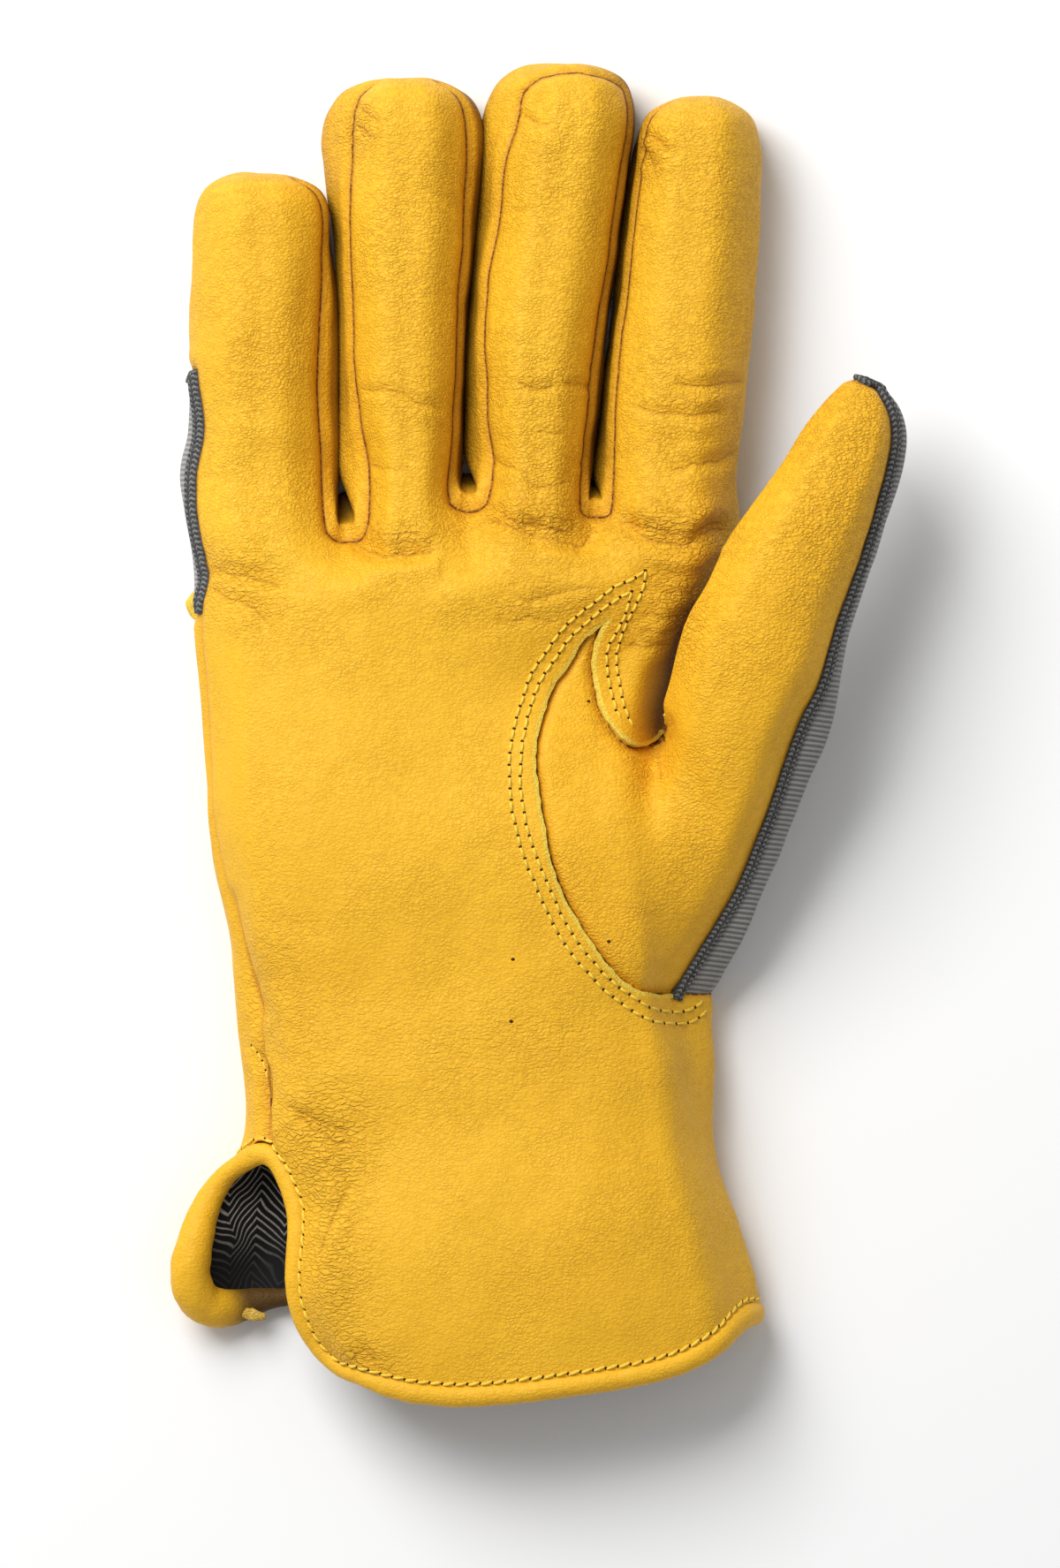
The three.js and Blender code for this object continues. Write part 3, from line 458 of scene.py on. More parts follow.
def build_fingers(knuckles):
    webs = [build_web(knuckles, finger["column"] + FINGER_COLUMNS, name)
            for finger, name in zip(FINGERS, FOURCHETTES)]
    for order, finger in enumerate(FINGERS):
        left_web = webs[order - 1] if order > 0 else None
        right_web = webs[order] if order < 3 else None
        left = left_web["right"] if left_web else knuckles["left"][::-1]
        right = right_web["left"] if right_web else knuckles["right"]
        mine = slice(finger["column"], finger["column"] + FINGER_COLUMNS + 1)
        low = [*knuckles["front"][mine], *right, *knuckles["back"][mine][::-1], *left[::-1]]
        sections = finger_sections(finger)
        steps = [(s, 1.0) for s in sections]
        steps += [({**sections[-1], "y": finger["tip"][1] - d}, tip_factor(d)) for d in TIP_STEPS]
        names_here = (FOURCHETTES[order - 1] if left_web else None, FOURCHETTES[order] if right_web else None)
        low_y = HAND[-1]["yLeft"]
        for step, (s, factor) in enumerate(steps):
            high = finger_loop(finger, s, factor)
            is_tip = step >= len(steps) - 2
            add_ring(low, high, lambda side: finger_region(finger, side, low_y + 1, is_tip, names_here))
            low, low_y = high, s["y"]
        close_tip(low, FINGER_COLUMNS, (0, 1, 0), cap_name(finger))


def thumb_loop(s):
    left = np.array((s["xLeft"], s["yLeft"], s["zLeft"]))
    right = np.array((s["xRight"], s["yRight"], s["zRight"]))
    width = math.hypot(right[0] - left[0], right[1] - left[1])
    side_rise = THUMB_SIDE_RISE * s["half"]
    front_start = mix(left, right, THUMB_FRONT_START)
    front_end = mix(left, right, 1 - s["edge"] / width)
    back_start = mix(left, right, THUMB_BACK_START)
    back_end = left + np.array((s["xUnder"], s["yUnder"], 0))

    def place(a, b, along, rise):
        spot = mix(a, b, along)
        return add_point(spot[0], spot[1], spot[2] + rise)

    shares = [column / THUMB_COLUMNS for column in range(THUMB_COLUMNS + 1)]
    rises = [s["half"] * mix(THUMB_SIDE_SHARE, 1, crown(a, THUMB_CROWN_POWER)) for a in shares]
    front = [place(front_start, front_end, a, r) for a, r in zip(shares, rises)]
    outer = [place(right, right, 0, side_rise), place(right, right, 0, -side_rise)]
    back = [place(back_start, back_end, a, -r) for a, r in zip(shares, rises)]
    inner = [place(left, back_end, 0.5, -side_rise), place(left, left, 0, side_rise)]
    return [*front, *outer, *back, *inner]


def thumb_region(order, side):
    """Cloth round the outer side and the back; palm leather at the foot of the inner wall."""
    first_inner = 2 * THUMB_COLUMNS + WALL_SIDES
    if THUMB_COLUMNS <= side < first_inner:
        return "thumb_back"
    return "palm_panel" if order == 0 and first_inner <= side < first_inner + 2 else "thumb_front"


def build_thumb(loops):
    rows = [loops[row] for row in range(THUMB_HIGH_ROW, THUMB_LOW_ROW - 1, -1)]
    ring = [*[loop["front"][LAST_COLUMN] for loop in rows], *loops[THUMB_LOW_ROW]["right"],
            *[loop["back"][LAST_COLUMN] for loop in rows[::-1]], *loops[THUMB_HIGH_ROW]["right"][::-1]]
    for order, s in enumerate(THUMB):
        loop = thumb_loop(s)
        add_ring(ring, loop, lambda side: thumb_region(order, side))
        ring = loop
    close_tip(ring, THUMB_COLUMNS, (0.2, 0.8, 0), "thumb_back")


# Sums over meshes and lines
def totals(index, values, count):
    """Adds up the values that belong to each index."""
    total = np.zeros((count, 3))
    np.add.at(total, index, values)
    return total


def unit(vectors):
    return vectors / np.maximum(np.linalg.norm(vectors, axis=1), 1e-9)[:, None]


def travelled(line):
    """How far along the line each of its points is."""
    return np.concatenate([[0], np.cumsum(np.linalg.norm(np.diff(line, axis=0), axis=1))])


def at_marks(marks, lengths, values):
    return np.stack([np.interp(marks, lengths, values[:, k]) for k in range(values.shape[1])], 1)


def noise_at(spots, scale=1.0):
    return np.array([noise.noise(Vector(spot) * scale) for spot in spots])


def near_tree(spots):
    tree = KDTree(len(spots))
    for order, spot in enumerate(spots):
        tree.insert(spot, order)
    tree.balance()
    return tree


def ray_tree(verts, tris):
    return BVHTree.FromPolygons([tuple(v) for v in verts], [tuple(map(int, t)) for t in tris])


# Smooth subdivision of the cage
def refine(verts, faces):
    """One Catmull-Clark step. The first rows of the result are the old points."""
    count = len(verts)
    starts = faces.ravel()
    ends = np.roll(faces, -1, axis=1).ravel()
    keys = np.minimum(starts, ends) * count + np.maximum(starts, ends)
    unique, first, inverse, uses = np.unique(keys, return_index=True, return_inverse=True, return_counts=True)
    a, b = starts[first], ends[first]
    face_points = verts[faces].mean(axis=1)
    around = face_points.repeat(4, axis=0)
    middles = (verts[a] + verts[b]) / 2
    border = uses == 1
    inner = (verts[a] + verts[b] + totals(inverse, around, len(unique))) / 4
    edge_points = np.where(border[:, None], middles, inner)
    n = np.maximum(np.bincount(starts, minlength=count), 1)[:, None]
    both = np.concatenate([a, b])
    edge_count = np.maximum(np.bincount(both, minlength=count), 1)[:, None]
    edge_sum = totals(both, np.tile(middles, (2, 1)), count)
    moved = (totals(starts, around, count) / n + 2 * edge_sum / edge_count + (n - 3) * verts) / n
    near = np.concatenate([a[border], b[border]])
    far = np.concatenate([b[border], a[border]])
    border_sum = totals(near, verts[far], count)
    border_count = np.bincount(near, minlength=count)
    on_border = border_count == 2
    moved[on_border] = 0.75 * verts[on_border] + 0.125 * border_sum[on_border]
    odd = (border_count > 0) & ~on_border
    moved[odd] = verts[odd]
    edge_index = count + inverse.reshape(faces.shape)
    face_index = count + len(unique) + np.arange(len(faces))
    children = [np.stack([faces[:, k], edge_index[:, k], face_index, edge_index[:, (k + 3) % 4]], 1)
                for k in range(4)]
    return np.concatenate([moved, edge_points, face_points]), np.stack(children, 1).reshape(-1, 4)


def fitted_cage(target, faces):
    """Moves the cage out until the smooth surface goes through the measured points."""
    cage = target.copy()
    for _ in range(FIT_ROUNDS):
        smooth, finer = refine(cage, faces)
        smooth, _ = refine(smooth, finer)
        cage += FIT_STEP * (target - smooth[:len(target)])
    return cage


def vertex_normals(verts, tris):
    a, b, c = verts[tris[:, 0]], verts[tris[:, 1]], verts[tris[:, 2]]
    faces = np.cross(b - a, c - a)
    return unit(totals(tris.T.ravel(), np.tile(faces, (3, 1)), len(verts)))


def outline_field(outline, spots):
    """Signed distance to a closed outline, positive inside."""
    nearest = np.full(len(spots), np.inf)
    inside = np.zeros(len(spots), bool)
    x, y = spots[:, 0], spots[:, 1]
    for start, end in zip(outline, np.roll(outline, -1, axis=0)):
        d = end - start
        share = np.clip(((x - start[0]) * d[0] + (y - start[1]) * d[1]) / (d @ d), 0, 1)
        nearest = np.minimum(nearest, np.hypot(x - start[0] - share * d[0], y - start[1] - share * d[1]))
        if d[1] != 0:
            crosses = (start[1] > y) != (end[1] > y)
            inside ^= crosses & (x < start[0] + (y - start[1]) / d[1] * d[0])
    return np.where(inside, nearest, -nearest)


def line_field(line, spots):
    """Signed distance to an open line and the share of its length there."""
    best = np.full(len(spots), np.inf)
    signed = np.zeros(len(spots))
    along = np.zeros(len(spots))
    lengths = travelled(line)
    x, y = spots[:, 0], spots[:, 1]
    for order in range(len(line) - 1):
        start, d = line[order], line[order + 1] - line[order]
        share = np.clip(((x - start[0]) * d[0] + (y - start[1]) * d[1]) / (d @ d), 0, 1)
        px, py = x - start[0] - share * d[0], y - start[1] - share * d[1]
        distance = np.hypot(px, py)
        closer = distance < best
        best = np.where(closer, distance, best)
        signed = np.where(closer, np.where(d[0] * py - d[1] * px >= 0, distance, -distance), signed)
        here = lengths[order] + share * (lengths[order + 1] - lengths[order])
        along = np.where(closer, here / lengths[-1], along)
    return signed, along


def curve_points(line, spacing):
    """The same line through smooth curves, in even steps."""
    line = np.array(line, float)
    padded = np.concatenate([[2 * line[0] - line[1]], line, [2 * line[-1] - line[-2]]])
    dense = []
    for k in range(len(line) - 1):
        p0, p1, p2, p3 = padded[k:k + 4]
        square = 2 * p0 - 5 * p1 + 4 * p2 - p3
        cube = 3 * p1 - p0 - 3 * p2 + p3
        for t in np.linspace(0, 1, CURVE_STEPS, endpoint=False):
            dense.append(0.5 * (2 * p1 + (p2 - p0) * t + square * t * t + cube * t ** 3))
    dense.append(line[-1])
    return even_steps(np.array(dense), spacing)


def even_steps(line, spacing):
    lengths = travelled(line)
    count = max(int(round(lengths[-1] / spacing)), 2)
    return at_marks(np.linspace(0, lengths[-1], count + 1), lengths, line)


def smooth_step(low, high, value):
    t = np.clip((value - low) / (high - low), 0, 1)
    return t * t * (3 - 2 * t)


class Surface:
    """The fine surface of the glove, cut into regions along smooth lines."""

    def __init__(self):
        self.names = sorted({q[4] for q in quads} | {"palm_panel"})
        target = np.array(points, float)
        faces = np.array([q[:4] for q in quads])
        verts = fitted_cage(target, faces)
        for _ in range(LEVELS):
            verts, faces = refine(verts, faces)
        repeat = 4 ** LEVELS
        region = np.repeat([self.names.index(q[4]) for q in quads], repeat)
        row = np.repeat([q[5] for q in quads], repeat)
        self.verts = verts
        self.tris = np.concatenate([faces[:, [0, 1, 2]], faces[:, [0, 2, 3]]])
        self.region = np.concatenate([region, region])
        self.row = np.concatenate([row, row])

    def number(self, name):
        return self.names.index(name)

    def cut(self, region, outline, inside, outside):
        """Moves points onto the outline and hands the triangles to the two sides."""
        mine = np.nonzero(self.region == self.number(region))[0]
        used = np.unique(self.tris[mine])
        field = np.zeros(len(self.verts))
        field[used] = outline_field(outline, self.verts[used, :2])
        starts = self.tris[mine].ravel()
        ends = np.roll(self.tris[mine], -1, axis=1).ravel()
        crossing = field[starts] * field[ends] < 0
        for start, end in zip(starts[crossing], ends[crossing]):
            if field[start] * field[end] >= 0:
                continue
            share = field[start] / (field[start] - field[end])
            moved = start if share < 0.5 else end
            self.verts[moved] = mix(self.verts[start].copy(), self.verts[end].copy(), share)
            field[moved] = 0
        total = field[self.tris[mine]]
        is_inside = total.sum(axis=1) > 0
        self.region[mine] = np.where(is_inside, self.number(inside), self.number(outside))

    def seam_spots(self, pairs):
        """Points along the edges shared by the given pairs of regions."""
        count = len(self.verts)
        starts, ends = self.tris.ravel(), np.roll(self.tris, -1, axis=1).ravel()
        owner = np.repeat(self.region, 3)
        keys = np.minimum(starts, ends) * count + np.maximum(starts, ends)
        order = np.argsort(keys, kind="stable")
        same = keys[order][1:] == keys[order][:-1]
        one, two = order[1:][same], order[:-1][same]
        wanted = {frozenset((self.number(a), self.number(b))) for a, b in pairs}
        differs = owner[one] != owner[two]
        one, two = one[differs], two[differs]
        keep = [k for k, pair in enumerate(zip(owner[one], owner[two])) if frozenset(pair) in wanted]
        return np.stack([starts[one[keep]], ends[one[keep]]], 1)


# Materials
def make_node(tree, kind, inputs=(), **settings):
    made = tree.nodes.new(kind)
    for key, value in settings.items():
        setattr(made, key, value)
    for key, value in dict(inputs).items():
        feed(tree, made.inputs[key], value)
    return made


def feed(tree, socket, value):
    """Links a value that varies, or sets a fixed one."""
    source = value.socket if isinstance(value, Varying) else value
    if isinstance(source, bpy.types.NodeSocket):
        tree.links.new(source, socket)
    else:
        socket.default_value = source


class Varying:
    """A number that varies over a material, for use in sums."""

    def __init__(self, look, socket):
        self.look = look
        self.socket = socket

    def __add__(self, other):
        return self.look.math("ADD", self, other)

    def __sub__(self, other):
        return self.look.math("SUBTRACT", self, other)

    def __rsub__(self, other):
        return self.look.math("SUBTRACT", other, self)

    def __mul__(self, other):
        return self.look.math("MULTIPLY", self, other)

    def __abs__(self):
        return self.look.math("ABSOLUTE", self)


class Look:
    """A material with a few shorthand nodes. Places and heights are in millimetres."""

    def __init__(self, name):
        self.material = bpy.data.materials.new(name)
        self.material.use_nodes = True
        self.tree = self.material.node_tree
        self.tree.nodes.clear()
        out = make_node(self.tree, "ShaderNodeOutputMaterial")
        self.shader = make_node(self.tree, "ShaderNodeBsdfPrincipled")
        self.tree.links.new(self.shader.outputs[0], out.inputs[0])
        place = make_node(self.tree, "ShaderNodeTexCoord").outputs["Object"]
        self.place = self.scaled(place, 1 / MM)

    def scaled(self, vector, scale):
        inputs = {0: vector, "Scale": scale}
        return make_node(self.tree, "ShaderNodeVectorMath", inputs, operation="SCALE").outputs[0]

    def vector(self, operation, a, b):
        return make_node(self.tree, "ShaderNodeVectorMath", {0: a, 1: b}, operation=operation).outputs[0]

    def math(self, operation, a, b=0.0):
        made = make_node(self.tree, "ShaderNodeMath", {0: a, 1: b}, operation=operation)
        return Varying(self, made.outputs[0])

    def step(self, value, low, high, to_low=0.0, to_high=1.0):
        inputs = {"Value": value, "From Min": low, "From Max": high, "To Min": to_low, "To Max": to_high}
        made = make_node(self.tree, "ShaderNodeMapRange", inputs, interpolation_type="SMOOTHSTEP")
        return Varying(self, made.outputs[0])

    def wave(self, run, pitch):
        """From 0 to 1 and back once in each pitch."""
        return self.math("SINE", run * (2 * math.pi / pitch)) * 0.5 + 0.5

    def noise(self, scale, detail=2.0, rough=0.5, output="Fac"):
        inputs = {"Vector": self.place, "Scale": scale, "Detail": detail, "Roughness": rough}
        return Varying(self, make_node(self.tree, "ShaderNodeTexNoise", inputs).outputs[output])

    def cells(self, scale, place, feature="DISTANCE_TO_EDGE", randomness=1.0):
        inputs = {"Vector": place, "Scale": scale, "Randomness": randomness}
        made = make_node(self.tree, "ShaderNodeTexVoronoi", inputs, feature=feature)
        return Varying(self, made.outputs["Distance"])

    def colour(self, share, a, b):
        inputs = {0: share, 6: a, 7: b}
        return make_node(self.tree, "ShaderNodeMix", inputs, data_type="RGBA").outputs[2]

    def attribute(self, name):
        made = make_node(self.tree, "ShaderNodeAttribute", attribute_name=name)
        return Varying(self, made.outputs["Fac"])

    def coordinates(self):
        made = make_node(self.tree, "ShaderNodeSeparateXYZ", {0: self.place})
        return [Varying(self, socket) for socket in made.outputs]

    def bump(self, height):
        made = make_node(self.tree, "ShaderNodeBump", {"Height": height, "Distance": MM, "Strength": 1.0})
        self.tree.links.new(made.outputs[0], self.shader.inputs["Normal"])

    def surface(self, tint, roughness, shine, sheen=0.0):
        for key, value in [("Base Color", tint), ("Roughness", roughness), ("Specular IOR Level", shine),
                           ("Sheen Weight", sheen)]:
            feed(self.tree, self.shader.inputs[key], value)
        return self.material


GOLD = (0.84, 0.480, 0.021, 1)
GOLD_DEEP = (0.76, 0.395, 0.014, 1)
# Painted shade: the browns that leather is darkened to where its shade attribute says; the hem below the vent
# takes the darker one
SHADE_BROWN = (0.14, 0.050, 0.006, 1)
HEM_SHADE = (0.045, 0.019, 0.005, 1)
SEAM_BROWN = (0.13, 0.035, 0.004, 1)
# Colour of the grain cracks, and painted shade in wrinkle valleys and beside seams
CRACK_AND_SHADE_GOLD = (0.58, 0.235, 0.01, 1)
# Painted shade along the fold lines
FOLD_SHADE_BROWN = (0.38, 0.13, 0.008, 1)

# Relief of the materials, in millimetres
PEBBLE_DEPTH = 0.085
CRACK_DEPTH = 0.035
WRINKLE_DEPTH = 0.22
SEAM_DEPTH = 0.30
FOLD_LINE_DEPTH = 0.16
SWELL_DEPTH = 0.05
SUEDE_DEPTH = 0.35
THREAD_DEPTH = 0.12
RIB_DEPTH = 0.18
WEAVE_DEPTH = 0.12
CHAIN_DEPTH = 0.30
TAPE_FUZZ_DEPTH = 0.35
LINING_FUZZ_DEPTH = 0.1

# Grain size in cells to the millimetre, the others are distances in millimetres
GRAIN_SCALE = 1.45
GRAIN_WARP = 1.7
SEAM_WAVER = 0.25
RIB_PITCH = 1.0
RIB_WAVER = 0.4
CHAIN_PITCH = 1.05
STRIPE_PITCH = 1.75
STRIPE_BLOCK = 5.5
STRIPE_WAVER = 7.0


def leather_look(name, grain=1.0, base=GOLD, deep=GOLD_DEEP, fine=1.0, shaded=SHADE_BROWN):
    """Pebbled hide: small domes with thin broken cracks between them, folds, and seams."""
    look = Look(name)
    warp = look.vector("SUBTRACT", look.noise(0.45, 3.0, output="Color"), (0.5, 0.5, 0.5))
    place = look.vector("ADD", look.place, look.scaled(warp, GRAIN_WARP))
    drawn = look.vector("MULTIPLY", place, (0.80 * fine, 1.22 * fine, fine))
    pebble = look.step(look.cells(GRAIN_SCALE, drawn, "F1", 0.9), 0.15, 0.75, 1.0, 0.0)
    between = look.step(look.cells(GRAIN_SCALE, drawn, randomness=0.9), 0.02, 0.13, 1.0, 0.0)
    broken = look.step(look.noise(0.75), 0.25, 0.60)
    flow = look.vector("MULTIPLY", place, (0.34, 1.05, 0.6))
    wrinkle = look.step(look.cells(1.15, flow), 0.0, 0.20)
    creased = look.attribute("wrinkle")

    # The grain varies in patches and is stronger towards the fingertips
    patch = look.step(look.noise(0.06, 3.0), 0.36, 0.66)
    grain_share = look.step(patch + creased * 0.6, 0.0, 1.0, 0.70, 1.0)
    grain_share = grain_share * look.step(look.coordinates()[1], 5.0, 55.0, 0.85, 1.45)
    crack = between * broken * grain_share

    seam = look.attribute("seam") + (look.noise(0.9) - 0.5) * SEAM_WAVER
    fold_line = 0.0
    for group in range(2):
        line = look.step(abs(look.attribute(f"crease_{group}")), 0.0, 0.5, 1.0, 0.0)
        fold_line = look.math("MAXIMUM", line * look.attribute(f"crease_mask_{group}"), fold_line)

    height = pebble * grain_share * (PEBBLE_DEPTH * grain) - crack * (CRACK_DEPTH * grain)
    height = height + wrinkle * WRINKLE_DEPTH * (creased + 0.03) + look.step(seam, 0.0, 1.1) * SEAM_DEPTH
    look.bump(height - fold_line * FOLD_LINE_DEPTH + look.noise(0.5) * SWELL_DEPTH)

    uneven = look.step(look.noise(1.2), 0.38, 0.58, 0.55, 1.0)
    tint = look.colour(look.noise(0.035) * 0.9, base, deep)
    for share, over in [
        (crack * 0.45, CRACK_AND_SHADE_GOLD),
        # Painted shade in the wrinkle valleys
        ((1.0 - wrinkle) * (creased * 0.30), CRACK_AND_SHADE_GOLD),
        # Painted shade along the fold lines
        (fold_line * 0.50, FOLD_SHADE_BROWN),
        # Painted shade beside the seams, towards the groove
        (look.step(seam, 0.2, 2.2, 0.40, 0.0), CRACK_AND_SHADE_GOLD),
        (look.step(seam, 0.12, 0.44, 1.0, 0.0) * uneven, SEAM_BROWN),
        # Painted shade, where the shade attribute says
        (look.attribute("shade") * 0.95, shaded),
    ]:
        tint = look.colour(share, tint, over)
    return look.surface(tint, look.step(look.noise(0.4), 0.2, 0.8, 0.50, 0.62), 0.26)


def fibre_look(name, dark, light, scale, detail, depth, roughness, shine):
    """Short fibres: suede, or the ply of a thread."""
    look = Look(name)
    fibre = look.noise(scale, detail)
    look.bump(fibre * depth)
    return look.surface(look.colour(look.step(fibre, 0.3, 0.7), dark, light), roughness, shine)


def suede_look(name, dark, light):
    return fibre_look(name, dark, light, 3.5, 4.0, SUEDE_DEPTH, 0.95, 0.1)


def thread_look(name, dark, light):
    return fibre_look(name, dark, light, 4.0, 3.0, THREAD_DEPTH, 0.6, 0.3)


# Near-black caps paint the shade inside needle holes; the small flaws of the hide share this look
def hole_look():
    look = Look("needle_hole")
    tint = look.colour(look.noise(2.0), (0.03, 0.012, 0.003, 1), (0.10, 0.04, 0.008, 1))
    return look.surface(tint, 0.9, 0.05)


def fabric_look():
    look = Look("ribbed_fabric")
    x, y, _ = look.coordinates()
    rib = look.wave(y + x * 0.12 + look.noise(0.12) * RIB_WAVER, RIB_PITCH)
    weave = look.cells(3.4, look.place, randomness=0.55)
    look.bump(rib * RIB_DEPTH + weave * WEAVE_DEPTH)
    tint = look.colour(rib, (0.17, 0.165, 0.16, 1), (0.50, 0.485, 0.45, 1))
    tint = look.colour(look.step(weave, 0.0, 0.4, 0.45, 0.0), tint, (0.04, 0.04, 0.045, 1))
    return look.surface(tint, 0.9, 0.15, sheen=0.25)


def tape_look():
    """Overlocked edge: black borders with two rows of small grey chain stitches."""
    look = Look("edge_tape")
    across = look.attribute("across")
    fuzz = look.noise(2.2, 4.0, rough=0.7)
    beside_row = abs(look.math("FRACT", across * 2.0) - 0.5)
    chain = look.wave(fuzz * 0.5 + look.attribute("along") + beside_row * 1.1, CHAIN_PITCH)
    rows = look.math("COSINE", across * (4 * math.pi)) * -0.5 + 0.5
    light = look.step(chain, 0.2, 0.8) * look.step(rows, 0.0, 0.6)
    look.bump(light * CHAIN_DEPTH + fuzz * TAPE_FUZZ_DEPTH)
    tint = look.colour(look.step(fuzz, 0.3, 0.7), (0.022, 0.022, 0.024, 1), (0.10, 0.10, 0.10, 1))
    tint = look.colour(light * look.step(fuzz, 0.25, 0.6, 0.45, 1.0), tint, (0.26, 0.26, 0.255, 1))
    return look.surface(tint, 0.9, 0.15)


def lining_look():
    """Black cloth with thin pale stripes in a herringbone; the stripes fade towards the hem in painted shade.
    """
    look = Look("striped_lining")
    x, y, z = look.coordinates()
    block = look.math("PINGPONG", x + (look.noise(0.11, 1.0) - 0.5) * STRIPE_WAVER, STRIPE_BLOCK)
    run = y + z * 0.6 + block * 1.1
    stripe = look.math("FRACT", look.math("DIVIDE", run, STRIPE_PITCH))
    fuzz = look.noise(3.0, 3.0)
    # Painted shade: the stripes fade out towards the hem
    light = look.step(abs(stripe - 0.5), 0.06, 0.22, 1.0, 0.0) * look.step(y, -104.0, -92.0, 0.05, 1.0)
    light = light * look.step(fuzz, 0.2, 0.6, 0.45, 1.0)
    look.bump(fuzz * LINING_FUZZ_DEPTH)
    return look.surface(look.colour(light, (0.006, 0.006, 0.007, 1), (0.36, 0.32, 0.27, 1)), 0.85, 0.2)


# Making pieces
SHIFT = np.zeros(3)
# Depths of the two rows of a rim below the surface: at a cut edge, and at a turned one
CUT_DEPTHS = (0.22, 1.4)
TURNED_DEPTHS = (0.4 * LEATHER_THICKNESS, LEATHER_THICKNESS)
# Round the cut edge: how far the thumb leather reaches under the palm leather, how much lower it lies,
# how much the palm leather lifts, and where the painted shadow on the thumb leather starts
CUT_OVERLAP = 4.5
CUT_SINK = 1.15
CUT_LIFT = 0.3
CUT_SHADE_START = 0.8
# Least upward part of the normal where the palm side is meant
FACES_UP = 0.2
SHARP_ANGLE = 50
# Distances to a seam are cut off here
FAR = 40.0


def make_object(name, verts, tris, materials, slots=None, attributes=None, slot="leather", replaces=(),
                sharp=None):
    verts = np.asarray(verts, float)
    tris = np.asarray(tris, np.int32)
    mesh = bpy.data.meshes.new(name)
    mesh.vertices.add(len(verts))
    mesh.vertices.foreach_set("co", ((verts + SHIFT) * MM).astype(np.float32).ravel())
    mesh.loops.add(3 * len(tris))
    mesh.loops.foreach_set("vertex_index", tris.ravel())
    mesh.polygons.add(len(tris))
    mesh.polygons.foreach_set("loop_start", np.arange(0, 3 * len(tris), 3, dtype=np.int32))
    for material in materials:
        mesh.materials.append(material)
    if slots is not None:
        mesh.polygons.foreach_set("material_index", np.asarray(slots, np.int32))
    mesh.update(calc_edges=True)
    mesh.validate()
    for key, values in (attributes or {}).items():
        layer = mesh.attributes.new(key, "FLOAT", "POINT")
        layer.data.foreach_set("value", np.asarray(values, np.float32))
    mesh.shade_smooth()
    if sharp:
        mesh.set_sharp_from_angle(angle=math.radians(sharp))
    made = bpy.data.objects.new(name, mesh)
    bpy.context.scene.collection.objects.link(made)
    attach(made, "root")
    if replaces:
        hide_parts(*replaces)
    return made


def border_of(tris, count):
    starts, ends = tris.ravel(), np.roll(tris, -1, axis=1).ravel()
    free = ~np.isin(starts * count + ends, ends * count + starts)
    return np.stack([starts[free], ends[free]], 1)


def distances(spots, targets):
    tree = near_tree(targets)
    return np.array([min(tree.find(spot)[2], FAR) for spot in spots])


def apart(verts, spot):
    """Distances to a spot in the plan."""
    return np.hypot(verts[:, 0] - spot[0], verts[:, 1] - spot[1])


def bell(distance, width):
    return np.exp(-(distance / width) ** 2)


# Folds: a group for lines that lie close together, depth and width in millimetres, then picture points
CREASES = [
    (0, 1.3, 1.8, "545,579 556,589 575,597 593,602 606,607 626,611 649,613 663,613 672,597"),
    (1, 0.7, 0.9, "566,583 582,590 601,592 620,598 640,600 658,601"),
    (0, 0.4, 0.8, "622,586 634,588 643,591 656,589"),
    (1, 0.5, 1.0, "590,539 603,549 619,551 638,549 649,544"),
    (0, 0.4, 0.9, "556,519 575,529 590,531"),
    (0, 0.3, 0.8, "608,490 624,491 639,491"),
    (0, 0.6, 1.0, "586,437 606,441 616,441 631,437"),
    (1, 0.45, 0.9, "639,432 649,436 672,435"),
    (0, 1.3, 1.8, "700,579 712,594 724,604 740,611 760,617 779,618 797,608 814,600 831,602"),
    (1, 0.6, 1.1, "694,584 707,591 720,595 740,599 762,605 784,605 806,594 828,588"),
    (0, 0.5, 1.2, "756,533 772,531 789,526 814,523 836,506"),
    (0, 0.6, 1.3, "761,433 780,437 800,438 822,436 848,430"),
    (1, 0.5, 1.2, "716,461 735,466 758,470 790,471 824,465"),
    (0, 1.2, 1.6, "398,610 412,619 426,625 447,627 474,626 500,620"),
    (1, 0.4, 0.9, "417,600 436,606 458,607 480,602"),
    (0, 0.4, 0.9, "404,442 447,444 474,457 510,464"),
    (0, 0.3, 0.8, "417,526 440,532 468,530"),
    (0, 0.35, 0.8, "402,141 415,150 422,163"),
    (1, 0.35, 0.8, "403,122 418,130 430,141"),
    (0, 0.45, 0.8, "722,165 735,178 741,193"),
    (1, 0.4, 0.8, "727,150 745,160 756,172"),
    (0, 0.35, 0.9, "590,131 606,140 625,146"),
    (0, 0.5, 1.2, "709,730 726,734 742,733 762,728"),
    (1, 0.4, 1.0, "726,693 742,697 759,700 778,694"),
    (0, 0.4, 1.0, "727,712 742,717 767,716"),
    (0, 0.35, 0.9, "751,673 766,671 786,673"),
    (0, 0.35, 1.0, "560,703 582,703 603,700 633,707"),
    (1, 0.3, 0.9, "590,683 620,676 653,669 680,667"),
    (0, 0.7, 1.6, "262,1000 268,1040 274,1075 286,1120 298,1158"),
    (0, 0.9, 1.0, "286,1185 302,1213 303,1239 301,1277 303,1297"),
    (1, 0.5, 1.4, "330,1262 352,1272 380,1290 402,1290"),
    (0, 0.4, 1.2, "318,1250 345,1260 372,1272 398,1279"),
    (1, 0.4, 1.3, "362,1420 372,1390 384,1362 402,1336"),
    (0, 0.4, 1.1, "396,1552 400,1538 412,1527 424,1536 426,1550"),
    (0, 0.4, 1.4, "240,640 262,652 290,655 322,668"),
    (1, 0.4, 1.4, "238,666 258,676 288,690 310,712"),
    (0, 0.35, 2.2, "743,846 745,866 747,884"),
]
